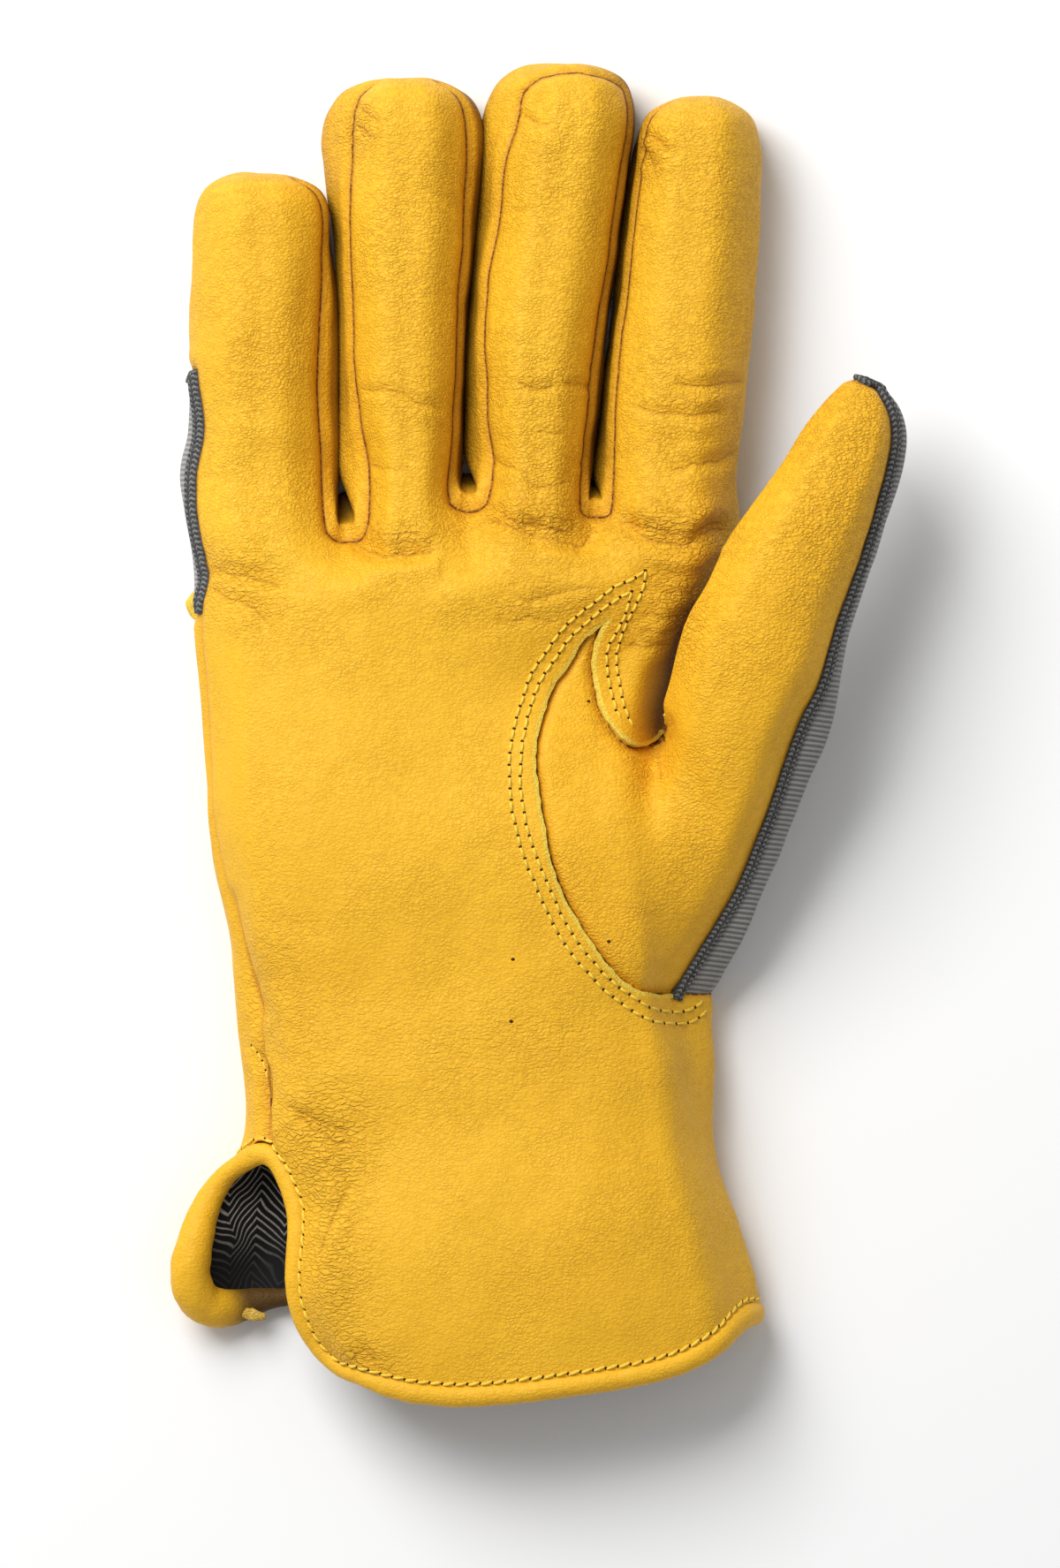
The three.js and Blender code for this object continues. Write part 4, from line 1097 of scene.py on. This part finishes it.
# Where the leather is finely wrinkled: centre and reach in picture points, then strength
WRINKLED = [
    (610, 590, 70, 26, 1.0), (762, 597, 70, 26, 1.0), (455, 610, 60, 22, 0.8), (770, 690, 40, 70, 1.0),
    (270, 660, 60, 50, 0.8), (365, 1290, 60, 70, 0.9), (375, 1430, 40, 120, 0.8), (410, 1540, 40, 25, 1.0),
    (410, 138, 26, 40, 0.9), (733, 175, 24, 36, 1.0), (640, 530, 70, 30, 0.5), (790, 450, 60, 30, 0.5),
    (620, 435, 60, 20, 0.5), (460, 450, 60, 25, 0.4), (300, 1120, 40, 130, 0.5), (620, 690, 70, 30, 0.45),
    (740, 870, 30, 40, 0.7), (800, 160, 60, 80, 0.3), (560, 1180, 220, 60, 0.3), (600, 170, 30, 90, 0.4),
]
FOLD_STEP = 0.8
FOLD_REACH = 60.0
FOLD_WAVER = 0.7
# Share of its length over which a fold fades out at each end
FOLD_FADE = 0.12
# Height of the swollen leather on both sides of a fold, as a share of its depth
FOLD_SWELL = 0.45
FOLD_LINE_WIDTH = 1.1


def leather_folds(verts, normals):
    """Moves the surface into its folds; returns the fold lines and the wrinkled share for the shader."""
    facing = smooth_step(0.05, 0.45, normals[:, 2]) * smooth_step(6.0, 10.0, verts[:, 2])
    depth = np.zeros(len(verts))
    lines = np.zeros((2, len(verts)))
    masks = np.zeros((2, len(verts)))
    for group, deep, wide, spots in CREASES:
        line = curve_points(line_px(spots), FOLD_STEP)
        line[:, 1] += FOLD_WAVER * noise_at(np.column_stack([line * 0.45, np.full(len(line), 3.0 + group)]))
        near = (np.abs(verts[:, :2] - line.mean(axis=0)).max(axis=1) < FOLD_REACH) & (facing > 0)
        where = np.nonzero(near)[0]
        signed, along = line_field(line, verts[where, :2])
        fade = smooth_step(0.0, FOLD_FADE, along) * smooth_step(0.0, FOLD_FADE, 1 - along) * facing[where]
        profile = bell(signed, wide) - FOLD_SWELL * bell(np.abs(signed) - 2.0 * wide, wide)
        depth[where] += deep * profile * fade
        mask = fade * bell(signed, FOLD_LINE_WIDTH) * min(1.0, 0.35 + deep)
        better = mask > masks[group, where]
        lines[group, where] = np.where(better, signed, lines[group, where])
        masks[group, where] = np.maximum(mask, masks[group, where])
    wrinkled = np.zeros(len(verts))
    for px, py, reach_x, reach_y, strength in WRINKLED:
        (x, y), = from_px([(px, py)])
        fall = np.exp(-((verts[:, 0] - x) / (reach_x * PX)) ** 2 - ((verts[:, 1] - y) / (reach_y * PX)) ** 2)
        wrinkled += strength * fall * facing
    wrinkled = np.clip(wrinkled, 0, 1)
    lumps = noise_at(verts, 0.085) * 0.45 + noise_at(verts, 0.22) * 0.14
    ripple = 0.45 * noise_at(verts * (0.16, 0.5, 0.2)) + 0.22 * noise_at(verts * (0.3, 0.95, 0.3))
    depth -= lumps + ripple * wrinkled
    return verts - normals * depth[:, None], lines, masks, wrinkled


def cage_reach(region, axis):
    return max(points[corner][axis] for quad in quads if quad[4] == region for corner in quad[:4])


loops = build_hand()
build_fingers(loops[-1])
build_thumb(loops)
surface = Surface()
surface.cut("palm_front", WING_OUTLINE, "thumb_front", "palm_panel")
surface.cut("hand_back", BACK_SEAM, "back_cuff", "back_fabric")
surface.cut("palm_panel", TIP_SEAM, "fingertip_cap_middle", "palm_panel")
SHIFT[0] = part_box("thumb_back")[1][0] / MM - cage_reach("thumb_back", 0)
SHIFT[1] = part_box("fingertip_cap_middle")[1][1] / MM - cage_reach("fingertip_cap_middle", 1)

leather = leather_look("leather")
# The hem's painted shade is a darker brown, used where it lies below the vent
hem_leather = leather_look("hem_leather", 0.6, shaded=HEM_SHADE)
suede = suede_look("suede_edge", (0.72, 0.46, 0.03, 1), (0.94, 0.71, 0.13, 1))
worn_suede = suede_look("worn_suede", (0.42, 0.22, 0.02, 1), (0.80, 0.56, 0.13, 1))
fabric = fabric_look()
tape = tape_look()
lining_cloth = lining_look()
thread = thread_look("thread", (0.70, 0.44, 0.03, 1), (0.96, 0.70, 0.09, 1))
holes = hole_look()
thumb_leather = leather_look("thumb_leather", 1.45, (0.85, 0.458, 0.017, 1), (0.80, 0.415, 0.014, 1), 1.02)

CAPS = [cap_name(finger) for finger in FINGERS]
PANELS = {name: (leather, "leather") for name in [
    "palm_panel", "thumb_front", "thumb_back", "back_fabric", "back_cuff", *FOURCHETTES, *CAPS]}
PANELS["thumb_front"] = (thumb_leather, "leather")
PANELS["thumb_back"] = PANELS["back_fabric"] = (fabric, "fabric")
LEATHER_PANELS = [name for name, (_, slot) in PANELS.items() if slot == "leather"]
# Neighbours without a rolled seam between them
OPEN_PAIRS = [{"palm_panel", "thumb_front"}, *[{cap, name} for cap in CAPS for name in FOURCHETTES]]
SEAM_PAIRS = [(a, b) for a in PANELS for b in PANELS if a < b and {a, b} not in OPEN_PAIRS]
FINGER_HALF_WIDTH = 12
TIP_DEPTH = 1.3
# The cut edges lie on the palm side, above this height
CUT_HEIGHT = 12
SEAM_ROLL = 0.62
SEAM_SWELL = 0.15

normals = vertex_normals(surface.verts, surface.tris)
in_thumb = np.zeros(len(surface.verts), bool)
in_thumb[surface.tris[surface.region == surface.number("thumb_front")]] = True
in_thumb |= outline_field(WING_OUTLINE, surface.verts[:, :2]) > 0
cut_distance = np.minimum(*[
    np.abs(line_field(line, surface.verts[:, :2])[0]) for line in (WING_EDGE, TONGUE_EDGE)])
cut_field = np.where(in_thumb, cut_distance, -cut_distance)
on_cut = np.zeros(len(surface.verts), bool)
on_cut[surface.seam_spots([("palm_panel", "thumb_front")]).ravel()] = True
on_cut &= surface.verts[:, 2] > CUT_HEIGHT
seam_edges = surface.seam_spots(SEAM_PAIRS)
# The leather turns over the tip without a seam on three of the fingers
for finger in FINGERS:
    if finger["name"] != "middle":
        ends = surface.verts[seam_edges].mean(axis=1)
        over_tip = ends[:, 1] > finger["tip"][1] - TIP_DEPTH
        over_tip &= np.abs(ends[:, 0] - finger["tip"][0]) < FINGER_HALF_WIDTH
        seam_edges = seam_edges[~over_tip | (ends[:, 2] < 5)]
seam_line = np.concatenate([surface.verts[np.unique(seam_edges)], surface.verts[seam_edges].mean(axis=1)])
seam_distance = distances(surface.verts, seam_line)

surface.verts, fold_lines, fold_masks, wrinkled = leather_folds(surface.verts, normals)
roll = SEAM_ROLL * bell(seam_distance, 1.4) - SEAM_SWELL * bell(seam_distance - 2.8, 1.3)
surface.verts -= normals * roll[:, None]
surface.verts[:, 2] = np.maximum(surface.verts[:, 2], 0.0)
normals = vertex_normals(surface.verts, surface.tris)
TONGUE_END = from_px([(757, 800)])[0]
# Inner edge of the thumb, along which a painted shadow lies on the palm
THUMB_SIDE = curve_points(line_px("746,827 750,806 758,781 764,751 773,717 786,689 801,662 822,628"), 1.0)


def shade_of(name, verts, turned):
    """Painted shade: how far the leather colour is darkened to brown where it is turned away, deep between
    two pieces, and on the palm beside the thumb.
    """
    if name in FOURCHETTES or name in CAPS:
        away = 1 - smooth_step(0.1, 0.85, turned[:, 2])
        # More painted shade on sides turned to +x, away from the lamp
        side = np.where(turned[:, 0] > 0, 0.95, 0.35) * np.clip(1.7 * np.abs(turned[:, 0]) - 0.3, 0, 1)
        # Painted shade low down between the fingers, fading out towards the tips
        low = 0 if name in CAPS else 1 - smooth_step(2.0, 9.0, verts[:, 2])
        low = low * (1 - smooth_step(72.0, 96.0, verts[:, 1]))
        return np.clip(away * side + low, 0, 1)
    if name == "palm_panel":
        # Painted shadow of the thumb on the palm, along the thumb's inner edge
        signed, along = line_field(THUMB_SIDE, verts[:, :2])
        near = bell(np.abs(signed), 2.6) * (1 - smooth_step(0.55, 1.0, along))
        return near * (1 - smooth_step(24.0, 30.0, verts[:, 2]))
    return np.zeros(len(verts))


def faint_seam(verts):
    """The side seam below the cloth is a soft crease with little brown in it."""
    beside = 1 - smooth_step(-53.0, -48.0, verts[:, 0])
    below = 1 - smooth_step(24.0, 31.0, verts[:, 1])
    return 0.75 * beside * below * smooth_step(-66.0, -56.0, verts[:, 1])


def cut_push(verts, turned, cut):
    """How far the points of a cut edge stand out, more at the torn end of the tongue."""
    if not len(cut):
        return np.zeros_like(verts)
    outward = np.cross(verts[cut[:, 1]] - verts[cut[:, 0]], turned[cut[:, 0]])
    push = unit(totals(cut.T.ravel(), np.tile(outward, (2, 1)), len(verts)))
    rough = 0.8 + 0.35 * noise_at(verts, 1.1) + 0.5 * bell(apart(verts, TONGUE_END), 2.5)
    return push * rough[:, None]


def build_panel(name):
    """One piece of the surface, with a rim turned down round its border."""
    material, slot = PANELS[name]
    mine = surface.region == surface.number(name)
    spots = surface.verts.copy()
    faces_up = normals[:, 2] > FACES_UP
    if name == "thumb_front":
        near = cut_field[surface.tris].min(axis=1) > -CUT_OVERLAP
        upper = surface.verts[surface.tris][:, :, 2].mean(axis=1) > CUT_HEIGHT
        mine |= (surface.region == surface.number("palm_panel")) & near & upper
        low = np.where(faces_up, 1 - smooth_step(0.3, 3.5, cut_field), 0)
        spots -= normals * (low * CUT_SINK)[:, None]
    if name == "palm_panel":
        lift = np.where(faces_up, bell(cut_field, 3.0), 0)
        spots += normals * (lift * CUT_LIFT)[:, None]
    used, inverse = np.unique(surface.tris[mine], return_inverse=True)
    tris = inverse.reshape(-1, 3)
    verts, turned = spots[used], normals[used]
    border = border_of(tris, len(verts))
    is_cut = on_cut[used][border].all(axis=1) & (name == "palm_panel")
    push = cut_push(verts, turned, border[is_cut])
    pushed = (np.abs(push).sum(axis=1) > 0)[:, None]
    rim = np.unique(border)
    index = [np.arange(len(verts))]
    parts = [verts]
    for order, depths in enumerate(zip(CUT_DEPTHS, TURNED_DEPTHS)):
        row = np.full(len(verts), -1)
        row[rim] = len(verts) + order * len(rim) + np.arange(len(rim))
        index.append(row)
        parts.append((verts + push - turned * np.where(pushed, *depths))[rim])
    a, b = border[:, 0], border[:, 1]
    rims = [tri for high, low in zip(index, index[1:])
            for tri in (np.stack([high[b], high[a], low[a]], 1), np.stack([high[b], low[a], low[b]], 1))]
    slots = np.concatenate([np.zeros(len(tris)), *[is_cut] * 4])

    def with_rim(values, at_rim=None):
        inner = (values if at_rim is None else at_rim)[rim]
        return np.concatenate([values, inner, inner])

    faint = faint_seam(verts)
    seam = seam_distance[used] + faint
    if name == "thumb_front":
        # Painted shadow on the thumb leather beside the palm's cut edge, drawn with the seam colours
        seam = np.minimum(seam, np.maximum(cut_field[used] - CUT_SHADE_START, 0))
    attributes = {"seam": with_rim(seam, faint), "wrinkle": with_rim(wrinkled[used]),
                  "shade": with_rim(shade_of(name, verts, turned))}
    for group in range(2):
        attributes[f"crease_{group}"] = with_rim(fold_lines[group][used])
        attributes[f"crease_mask_{group}"] = with_rim(fold_masks[group][used])
    return make_object(name + "_look", np.concatenate(parts), np.concatenate([tris, *rims]),
                       [material, suede], slots, attributes, slot, [name], SHARP_ANGLE)


shown_panels = {name: build_panel(name) for name in PANELS}


def joined(parts):
    spots, faces, base = [], [], 0
    for verts, tris in parts:
        spots.append(verts)
        faces.append(tris + base)
        base += len(verts)
    return np.concatenate(spots), np.concatenate(faces)


def solid_of(names):
    """The drawn surface of some panels, to lay things on."""
    parts = []
    for name in names:
        mesh = shown_panels[name].data
        co = np.zeros(3 * len(mesh.vertices))
        mesh.vertices.foreach_get("co", co)
        corners = np.zeros(len(mesh.loops), int)
        mesh.loops.foreach_get("vertex_index", corners)
        parts.append((co.reshape(-1, 3) / MM - SHIFT, corners.reshape(-1, 3)))
    return ray_tree(*joined(parts))


def dropped(tree, plan):
    """Points of the plan on the surface below them, with its normals there."""
    places, ups = [], []
    for x, y in plan:
        place, up, _, _ = tree.ray_cast(Vector((x, y, 80)), Vector((0, 0, -1)))
        if place is not None:
            places.append(np.array(place))
            ups.append(np.array(up))
    return np.array(places), np.array(ups)


def tube(spine, up, radii, sides, flat=1.0, closed=False):
    """Points and triangles of a tube; up is the direction of its height."""
    if closed:
        tangent = np.roll(spine, -1, axis=0) - np.roll(spine, 1, axis=0)
    else:
        tangent = np.gradient(spine, axis=0)
    tangent = unit(tangent)
    across = unit(np.cross(up, tangent))
    high = np.cross(tangent, across)
    angles = 2 * math.pi * np.arange(sides)[None, :, None] / sides
    ring = spine[:, None] + radii[:, None, None] * (
        across[:, None] * np.cos(angles) + flat * high[:, None] * np.sin(angles))
    count = len(spine)
    faces = []
    for step in range(count if closed else count - 1):
        after = (step + 1) % count
        for side in range(sides):
            near = (side + 1) % sides
            a, b = step * sides + side, step * sides + near
            c, d = after * sides + near, after * sides + side
            faces += [(a, b, c), (a, c, d)]
    return ring.reshape(-1, 3), np.array(faces)


# Stitches: how thick the thread is along each, and how far its ends sink into the leather
STITCH_PROFILE = np.array([0.55, 0.92, 1.0, 1.0, 0.92, 0.55])
STITCH_POINTS = len(STITCH_PROFILE)
STITCH_SINK = 0.12
STITCH_WOBBLE = 0.07
PLAN_WOBBLE = 0.1
THREAD_SIDES = 8
HOLE_SIDES = 8
# Needle holes: width as a share of the thread, heights of the middle, the rim and the foot, and taper
HOLE_WIDTH = 1.25
HOLE_TOP = 0.07
HOLE_RIM = 0.03
HOLE_LOW = 0.25
HOLE_TAPER = 0.6
FLECK_RADIUS = 0.32


def direction(vector):
    return vector / np.linalg.norm(vector)


def stitch_row(places, ups, radius, rise, lean=0.0, share=0.8):
    """One thread loop per step, each from needle hole to needle hole."""
    threads, dots = [], []
    marks = np.linspace(0.5 - share / 2, 0.5 + share / 2, STITCH_POINTS)
    lift = rise * np.sin(math.pi * np.linspace(0.0, 1.0, STITCH_POINTS)) - STITCH_SINK
    for order in range(len(places) - 1):
        a, b = places[order], places[order + 1]
        up = direction(ups[order] + ups[order + 1])
        along = b - a
        side = direction(np.cross(up, along))
        wobble = side * random.uniform(-STITCH_WOBBLE, STITCH_WOBBLE)
        spine = a + wobble + along * marks[:, None] + up * lift[:, None]
        spine = spine + side * (lean * (marks - 0.5))[:, None]
        radii = radius * STITCH_PROFILE * random.uniform(0.92, 1.08)
        threads.append(tube(spine, np.tile(up, (STITCH_POINTS, 1)), radii, THREAD_SIDES))
        dots.append(needle_hole(a, up, along, radius))
    return joined(threads), joined(dots)


def needle_hole(place, up, along, radius):
    side = direction(np.cross(up, along))
    ahead = np.cross(side, up)
    angles = 2 * math.pi * np.arange(HOLE_SIDES) / HOLE_SIDES
    ring = ahead * (np.cos(angles) * radius)[:, None] + side * (np.sin(angles) * radius * HOLE_WIDTH)[:, None]
    verts = np.concatenate([place + up * HOLE_RIM + ring, place - up * HOLE_LOW + ring * HOLE_TAPER,
                            [place + up * HOLE_TOP]])
    faces = []
    for k in range(HOLE_SIDES):
        after = (k + 1) % HOLE_SIDES
        low, low_after = k + HOLE_SIDES, after + HOLE_SIDES
        faces += [(k, after, 2 * HOLE_SIDES), (low, low_after, after), (low, after, k)]
    return verts, np.array(faces)


# Rows of stitches: pitch, radius and rise of the thread in millimetres, then picture points
ROW_SPECS = {
    "wing_stitches": (2.3, 0.29, 0.30, [
        "730,647 715,657 694,666 676,681 654,697 635,715 617,740 601,765 592,791 583,820 578,849 "
        "577,884 580,916 588,952 599,984 613,1016 627,1047 644,1074 665,1100 690,1125 719,1145 "
        "742,1156 769,1159 786,1156 801,1143",
        "714,671 704,676 683,690 666,704 647,720 629,746 612,770 602,796 595,823 590.5,850 "
        "589.5,884 592.5,914 600,948 611,979 625,1010 638,1040 654,1066 674,1091 697,1114 "
        "723,1132 744,1143 769,1146 784,1143 797,1132"]),
    "tongue_stitches": (2.2, 0.28, 0.30, [
        "715,670 709,691 703,706 696,719 689,733 687,746 688,763 692,781 696,801 703,815",
        "731,647 729,663 724,676 717,690 711,701 706,714 702,726 699,736 698,749 700,769 703,782 "
        "705,794 710,811 717,824"]),
    "side_seam_stitches": (1.9, 0.2, 0.2, [
        "284,1183 290,1190 297,1200 301,1210 303,1222"]),
}
# Small natural flaws of the hide
FLECKS = "666,794 689,1065 581,1085 579,1155"


def build_stitches():
    tree = solid_of(LEATHER_PANELS)
    all_dots = []
    for name, (pitch, radius, rise, rows) in ROW_SPECS.items():
        threads = []
        for row in rows:
            plan = curve_points(line_px(row), pitch)
            plan += [[random.uniform(-PLAN_WOBBLE, PLAN_WOBBLE) for _ in range(2)] for _ in plan]
            made, dots = stitch_row(*dropped(tree, plan), radius, rise)
            threads.append(made)
            all_dots.append(dots)
        make_object(name, *joined(threads), [thread], slot="thread")
    for fleck in line_px(FLECKS):
        (place,), (up,) = dropped(tree, [fleck])
        all_dots.append(needle_hole(place, up, np.array((0.0, 1.0, 0.0)), FLECK_RADIUS))
    return all_dots


# The rolled hem
def open_loop():
    """The free edge of the cuff and the vent, as an ordered loop of points."""
    edges = border_of(surface.tris, len(surface.verts))
    following = {int(a): int(b) for a, b in edges}
    start = int(edges[0, 0])
    order = [start]
    while following[order[-1]] != start:
        order.append(following[order[-1]])
    return np.array(order)


def smoothed(values, width):
    """Running mean round a closed loop."""
    kernel = np.hanning(2 * width + 3)[1:-1]
    kernel /= kernel.sum()
    padded = np.concatenate([values[-width:], values, values[:width]])
    return np.stack([np.convolve(padded[:, k], kernel, "valid") for k in range(values.shape[1])], 1)


def closed_steps(values, guide, spacing):
    """Values round a closed guide at even steps along it."""
    lengths = travelled(np.concatenate([guide, guide[:1]]))
    count = int(lengths[-1] / spacing)
    marks = np.arange(count) * lengths[-1] / count
    return at_marks(marks, lengths, np.concatenate([values, values[:1]]))


HEM_STEP = 0.8
HEM_SIDES = 20
HEM_FLAT = 0.92
HEM_RADIUS = 2.15
# What the radius gains round the flap, loses below the vent, and gains at the far corner
HEM_FLAP_GAIN = 1.95
HEM_LOW_LOSS = 0.5
HEM_CORNER_GAIN = 0.35
HEM_CORNER = (38.5, -113.0)
HEM_CORNER_REACH = 9.0
HEM_DROP = 0.75
HEM_LUMPS = 0.06
# No seam lies near the hem, so its seam distance is large
HEM_SEAM_DISTANCE = 30.0
HEM_WRINKLE = 0.1
HEM_STITCH_PITCH = 2.45
HEM_STITCH_INSET = 0.9


def build_hem():
    order = open_loop()
    edge, up = surface.verts[order], normals[order]
    both = smoothed(closed_steps(np.concatenate([edge, up], 1), edge, HEM_STEP), 6)
    edge, up = both[:, :3], unit(both[:, 3:])
    outward = unit(np.cross(np.roll(edge, -1, axis=0) - np.roll(edge, 1, axis=0), up))
    under = 1 - smooth_step(7.0, 13.0, edge[:, 2])
    at_left = 1 - smooth_step(-62.0, -48.0, edge[:, 0])
    # Below the vent the hem is thinner and is painted in shade through its shade attribute
    bottom = under * smooth_step(-63.0, -57.0, edge[:, 0]) * (1 - smooth_step(-44.0, -30.0, edge[:, 0]))
    bottom *= edge[:, 1] < -98
    swell = 1 - smooth_step(-107.0, -84.0, edge[:, 1])
    corner = bell(apart(edge, HEM_CORNER), HEM_CORNER_REACH)
    radii = HEM_RADIUS + HEM_FLAP_GAIN * under * at_left * swell
    radii = radii - HEM_LOW_LOSS * bottom + HEM_CORNER_GAIN * corner
    radii = smoothed(radii[:, None], 7)[:, 0]
    centre = smoothed(edge + outward * (radii * 0.8)[:, None] - up * HEM_DROP, 7)
    centre[:, 2] = np.maximum(centre[:, 2], radii * 0.9)
    verts, tris = tube(centre, up, radii, HEM_SIDES, flat=HEM_FLAT, closed=True)
    lumps = noise_at(verts, 0.35) + 0.4 * noise_at(verts, 0.9)
    spine = centre.repeat(HEM_SIDES, axis=0)
    verts = spine + (verts - spine) * (1 + HEM_LUMPS * lumps)[:, None]
    attributes = {
        "seam": np.full(len(verts), HEM_SEAM_DISTANCE), "wrinkle": np.full(len(verts), HEM_WRINKLE),
        "shade": smoothed(bottom[:, None], 3)[:, 0].repeat(HEM_SIDES)}
    make_object("cuff_binding_look", verts, tris, [hem_leather], attributes=attributes,
                slot="hem_leather", replaces=["cuff_binding"])
    return edge, up, outward


def build_hem_stitches(edge, up, outward):
    place = edge - outward * HEM_STITCH_INSET + up * 0.05
    lengths = travelled(place)
    marks = np.arange(0, lengths[-1], HEM_STITCH_PITCH)
    tree = solid_of(LEATHER_PANELS)
    laid = np.array([tree.find_nearest(Vector(spot))[0] for spot in at_marks(marks, lengths, place)])
    made, dots = stitch_row(laid, at_marks(marks, lengths, up), 0.30, 0.30, lean=0.55, share=0.9)
    make_object("hem_stitches", *made, [thread], slot="thread")
    return dots


def build_lining():
    mine = (surface.row >= 0) & (surface.row < LINED_ROWS)
    used, inverse = np.unique(surface.tris[mine], return_inverse=True)
    verts = surface.verts[used] - normals[used] * LINING_DEPTH
    verts[:, 2] = np.where(normals[used][:, 2] < 0, np.maximum(verts[:, 2], LINING_DEPTH), verts[:, 2])
    make_object("cuff_lining_look", verts, inverse.reshape(-1, 3), [lining_cloth], slot="lining",
                replaces=["cuff_lining"])


def chains(edges):
    """Edges joined into ordered lines."""
    links = {}
    for a, b in edges:
        links.setdefault(int(a), []).append(int(b))
        links.setdefault(int(b), []).append(int(a))
    ends = [v for v, near in links.items() if len(near) == 1] or [next(iter(links))]
    lines, seen = [], set()
    for end in ends:
        if end in seen:
            continue
        line = []
        ahead = [end]
        while ahead:
            line.append(ahead[0])
            seen.add(ahead[0])
            ahead = [v for v in links[line[-1]] if v not in seen]
        lines.append(line)
    return lines


TAPE_STEP = 0.6
TAPE_INSET = 0.35
TAPE_SHARES = np.linspace(0, 1, 9)
# Height of the tape over the cloth: at its sides, in its middle, and where its borders turn in
TAPE_BASE = 0.35
TAPE_RISE = 0.55
TAPE_SINK = -0.5


def build_tape(name, line, fabric_name, width):
    """A raised strip of overlock stitching on the cloth side of a seam."""
    mine = surface.region == surface.number(fabric_name)
    cloth = near_tree(surface.verts[np.unique(surface.tris[mine])])
    tree = ray_tree(surface.verts, surface.tris)
    path = even_steps(np.concatenate([surface.verts[line], normals[line]], 1), TAPE_STEP)
    spots, ups = path[:, :3], path[:, 3:]
    side = unit(np.cross(np.gradient(spots, axis=0), ups))
    toward = [cloth.find(s + d * 2.5)[2] - cloth.find(s - d * 2.5)[2] for s, d in zip(spots, side)]
    if np.median(toward) > 0:
        side = -side
    verts = []
    for spot, across, up in zip(spots, side, ups):
        for share in TAPE_SHARES:
            near = tree.find_nearest(Vector(spot + across * (width * share - TAPE_INSET)))[0]
            rise = TAPE_BASE + TAPE_RISE * (1 - (2 * share - 1) ** 4)
            verts.append(np.array(near) + up * (TAPE_SINK if share in (0.0, 1.0) else rise))
    count = len(TAPE_SHARES)
    faces = []
    for step in range(len(spots) - 1):
        for k in range(count - 1):
            a = step * count + k
            faces += [(a, a + 1, a + count + 1), (a, a + count + 1, a + count)]
    attributes = {"along": travelled(spots).repeat(count), "across": np.tile(TAPE_SHARES, len(spots))}
    make_object(name, verts, faces, [tape], attributes=attributes, slot="edge_tape")


hole_parts = build_stitches()
hem = build_hem()
hole_parts.append(build_hem_stitches(*hem))
make_object("needle_holes", *joined(hole_parts), [holes], slot="thread")
build_lining()
thumb_edges = surface.seam_spots([("thumb_back", "thumb_front")])
build_tape("thumb_edge_tape", max(chains(thumb_edges), key=len), "thumb_back", 2.4)
side_edges = surface.seam_spots([("back_fabric", "palm_panel")])
side_edges = [e for e in side_edges if surface.verts[e[0], 0] < -50 and surface.verts[e[0], 2] > 4]
build_tape("side_edge_tape", max(chains(side_edges), key=len), "back_fabric", 3.0)

SCRAP_SIDES = 14
SCRAP_STEP = 0.5


def build_scrap(name, spots, height, radius, flat, material):
    """A torn end of leather, pale where the inside of the hide shows."""
    plan = curve_points(line_px(spots), SCRAP_STEP)
    spine = np.column_stack([plan, np.full(len(plan), height)])
    spine[:, 2] += 0.5 * noise_at(np.column_stack([plan, np.full(len(plan), 7.0)]))
    ends = np.sin(math.pi * np.linspace(0.08, 0.92, len(spine))) ** 0.6
    up = np.tile((0.0, 0.0, 1.0), (len(spine), 1))
    verts, tris = tube(spine, up, radius * ends, SCRAP_SIDES, flat=flat)
    middle = spine.repeat(SCRAP_SIDES, axis=0)
    ragged = 1 + 0.45 * noise_at(verts, 0.5)
    make_object(name, middle + (verts - middle) * ragged[:, None], tris, [material])


build_scrap("side_seam_end", "221,670 219,684 222,700", 9.5, 1.3, 0.5, suede)
build_scrap("hem_end", "243,1464 256,1475 270,1484 288,1491 300,1492", 5.5, 1.25, 0.6,
            worn_suede)

# Studio, in metres
FLOOR_HALF = 3.0
AMBIENT = 0.42
LAMP_PLACE = (-0.60, 0.75, 1.0)
LAMP_SIZE = 0.9
LAMP_POWER = 23
SENSOR = 36.0
VIEW_WIDTH = 0.3042
CAMERA_DISTANCE = 3.0
GLOVE_MIDDLE = 0.015
# Middle of the view in the plan, in millimetres
VIEW_X = -1.5
VIEW_Y = -10.2


def add_to_scene(name, data):
    made = bpy.data.objects.new(name, data)
    bpy.context.scene.collection.objects.link(made)
    return made


floor_mesh = bpy.data.meshes.new("floor")
corners = [(x * FLOOR_HALF, y * FLOOR_HALF, 0) for x, y in ((-1, -1), (1, -1), (1, 1), (-1, 1))]
floor_mesh.from_pydata(corners, [], [(0, 1, 2, 3)])
floor_mesh.materials.append(Look("floor").surface((0.9, 0.9, 0.9, 1), 0.8, 0.1))
floor = add_to_scene("floor", floor_mesh)

world = bpy.data.worlds.new("studio")
world.use_nodes = True
background = world.node_tree.nodes["Background"]
background.inputs["Color"].default_value = (1, 1, 1, 1)
background.inputs["Strength"].default_value = AMBIENT
bpy.context.scene.world = world

lamp_data = bpy.data.lights.new("key", "AREA")
lamp_data.shape = "SQUARE"
lamp_data.size = LAMP_SIZE
lamp_data.energy = LAMP_POWER
lamp = add_to_scene("key", lamp_data)
lamp.location = LAMP_PLACE
lamp.rotation_euler = (-Vector(LAMP_PLACE)).to_track_quat("-Z", "Y").to_euler()

camera_data = bpy.data.cameras.new("camera")
camera_data.sensor_width = SENSOR
camera_data.lens = SENSOR * CAMERA_DISTANCE / VIEW_WIDTH
camera_data.clip_end = 20.0
camera = add_to_scene("camera", camera_data)
camera.location = ((VIEW_X + SHIFT[0]) * MM, (VIEW_Y + SHIFT[1]) * MM, CAMERA_DISTANCE + GLOVE_MIDDLE)
bpy.context.scene.camera = camera
bpy.context.scene.view_settings.view_transform = "Standard"
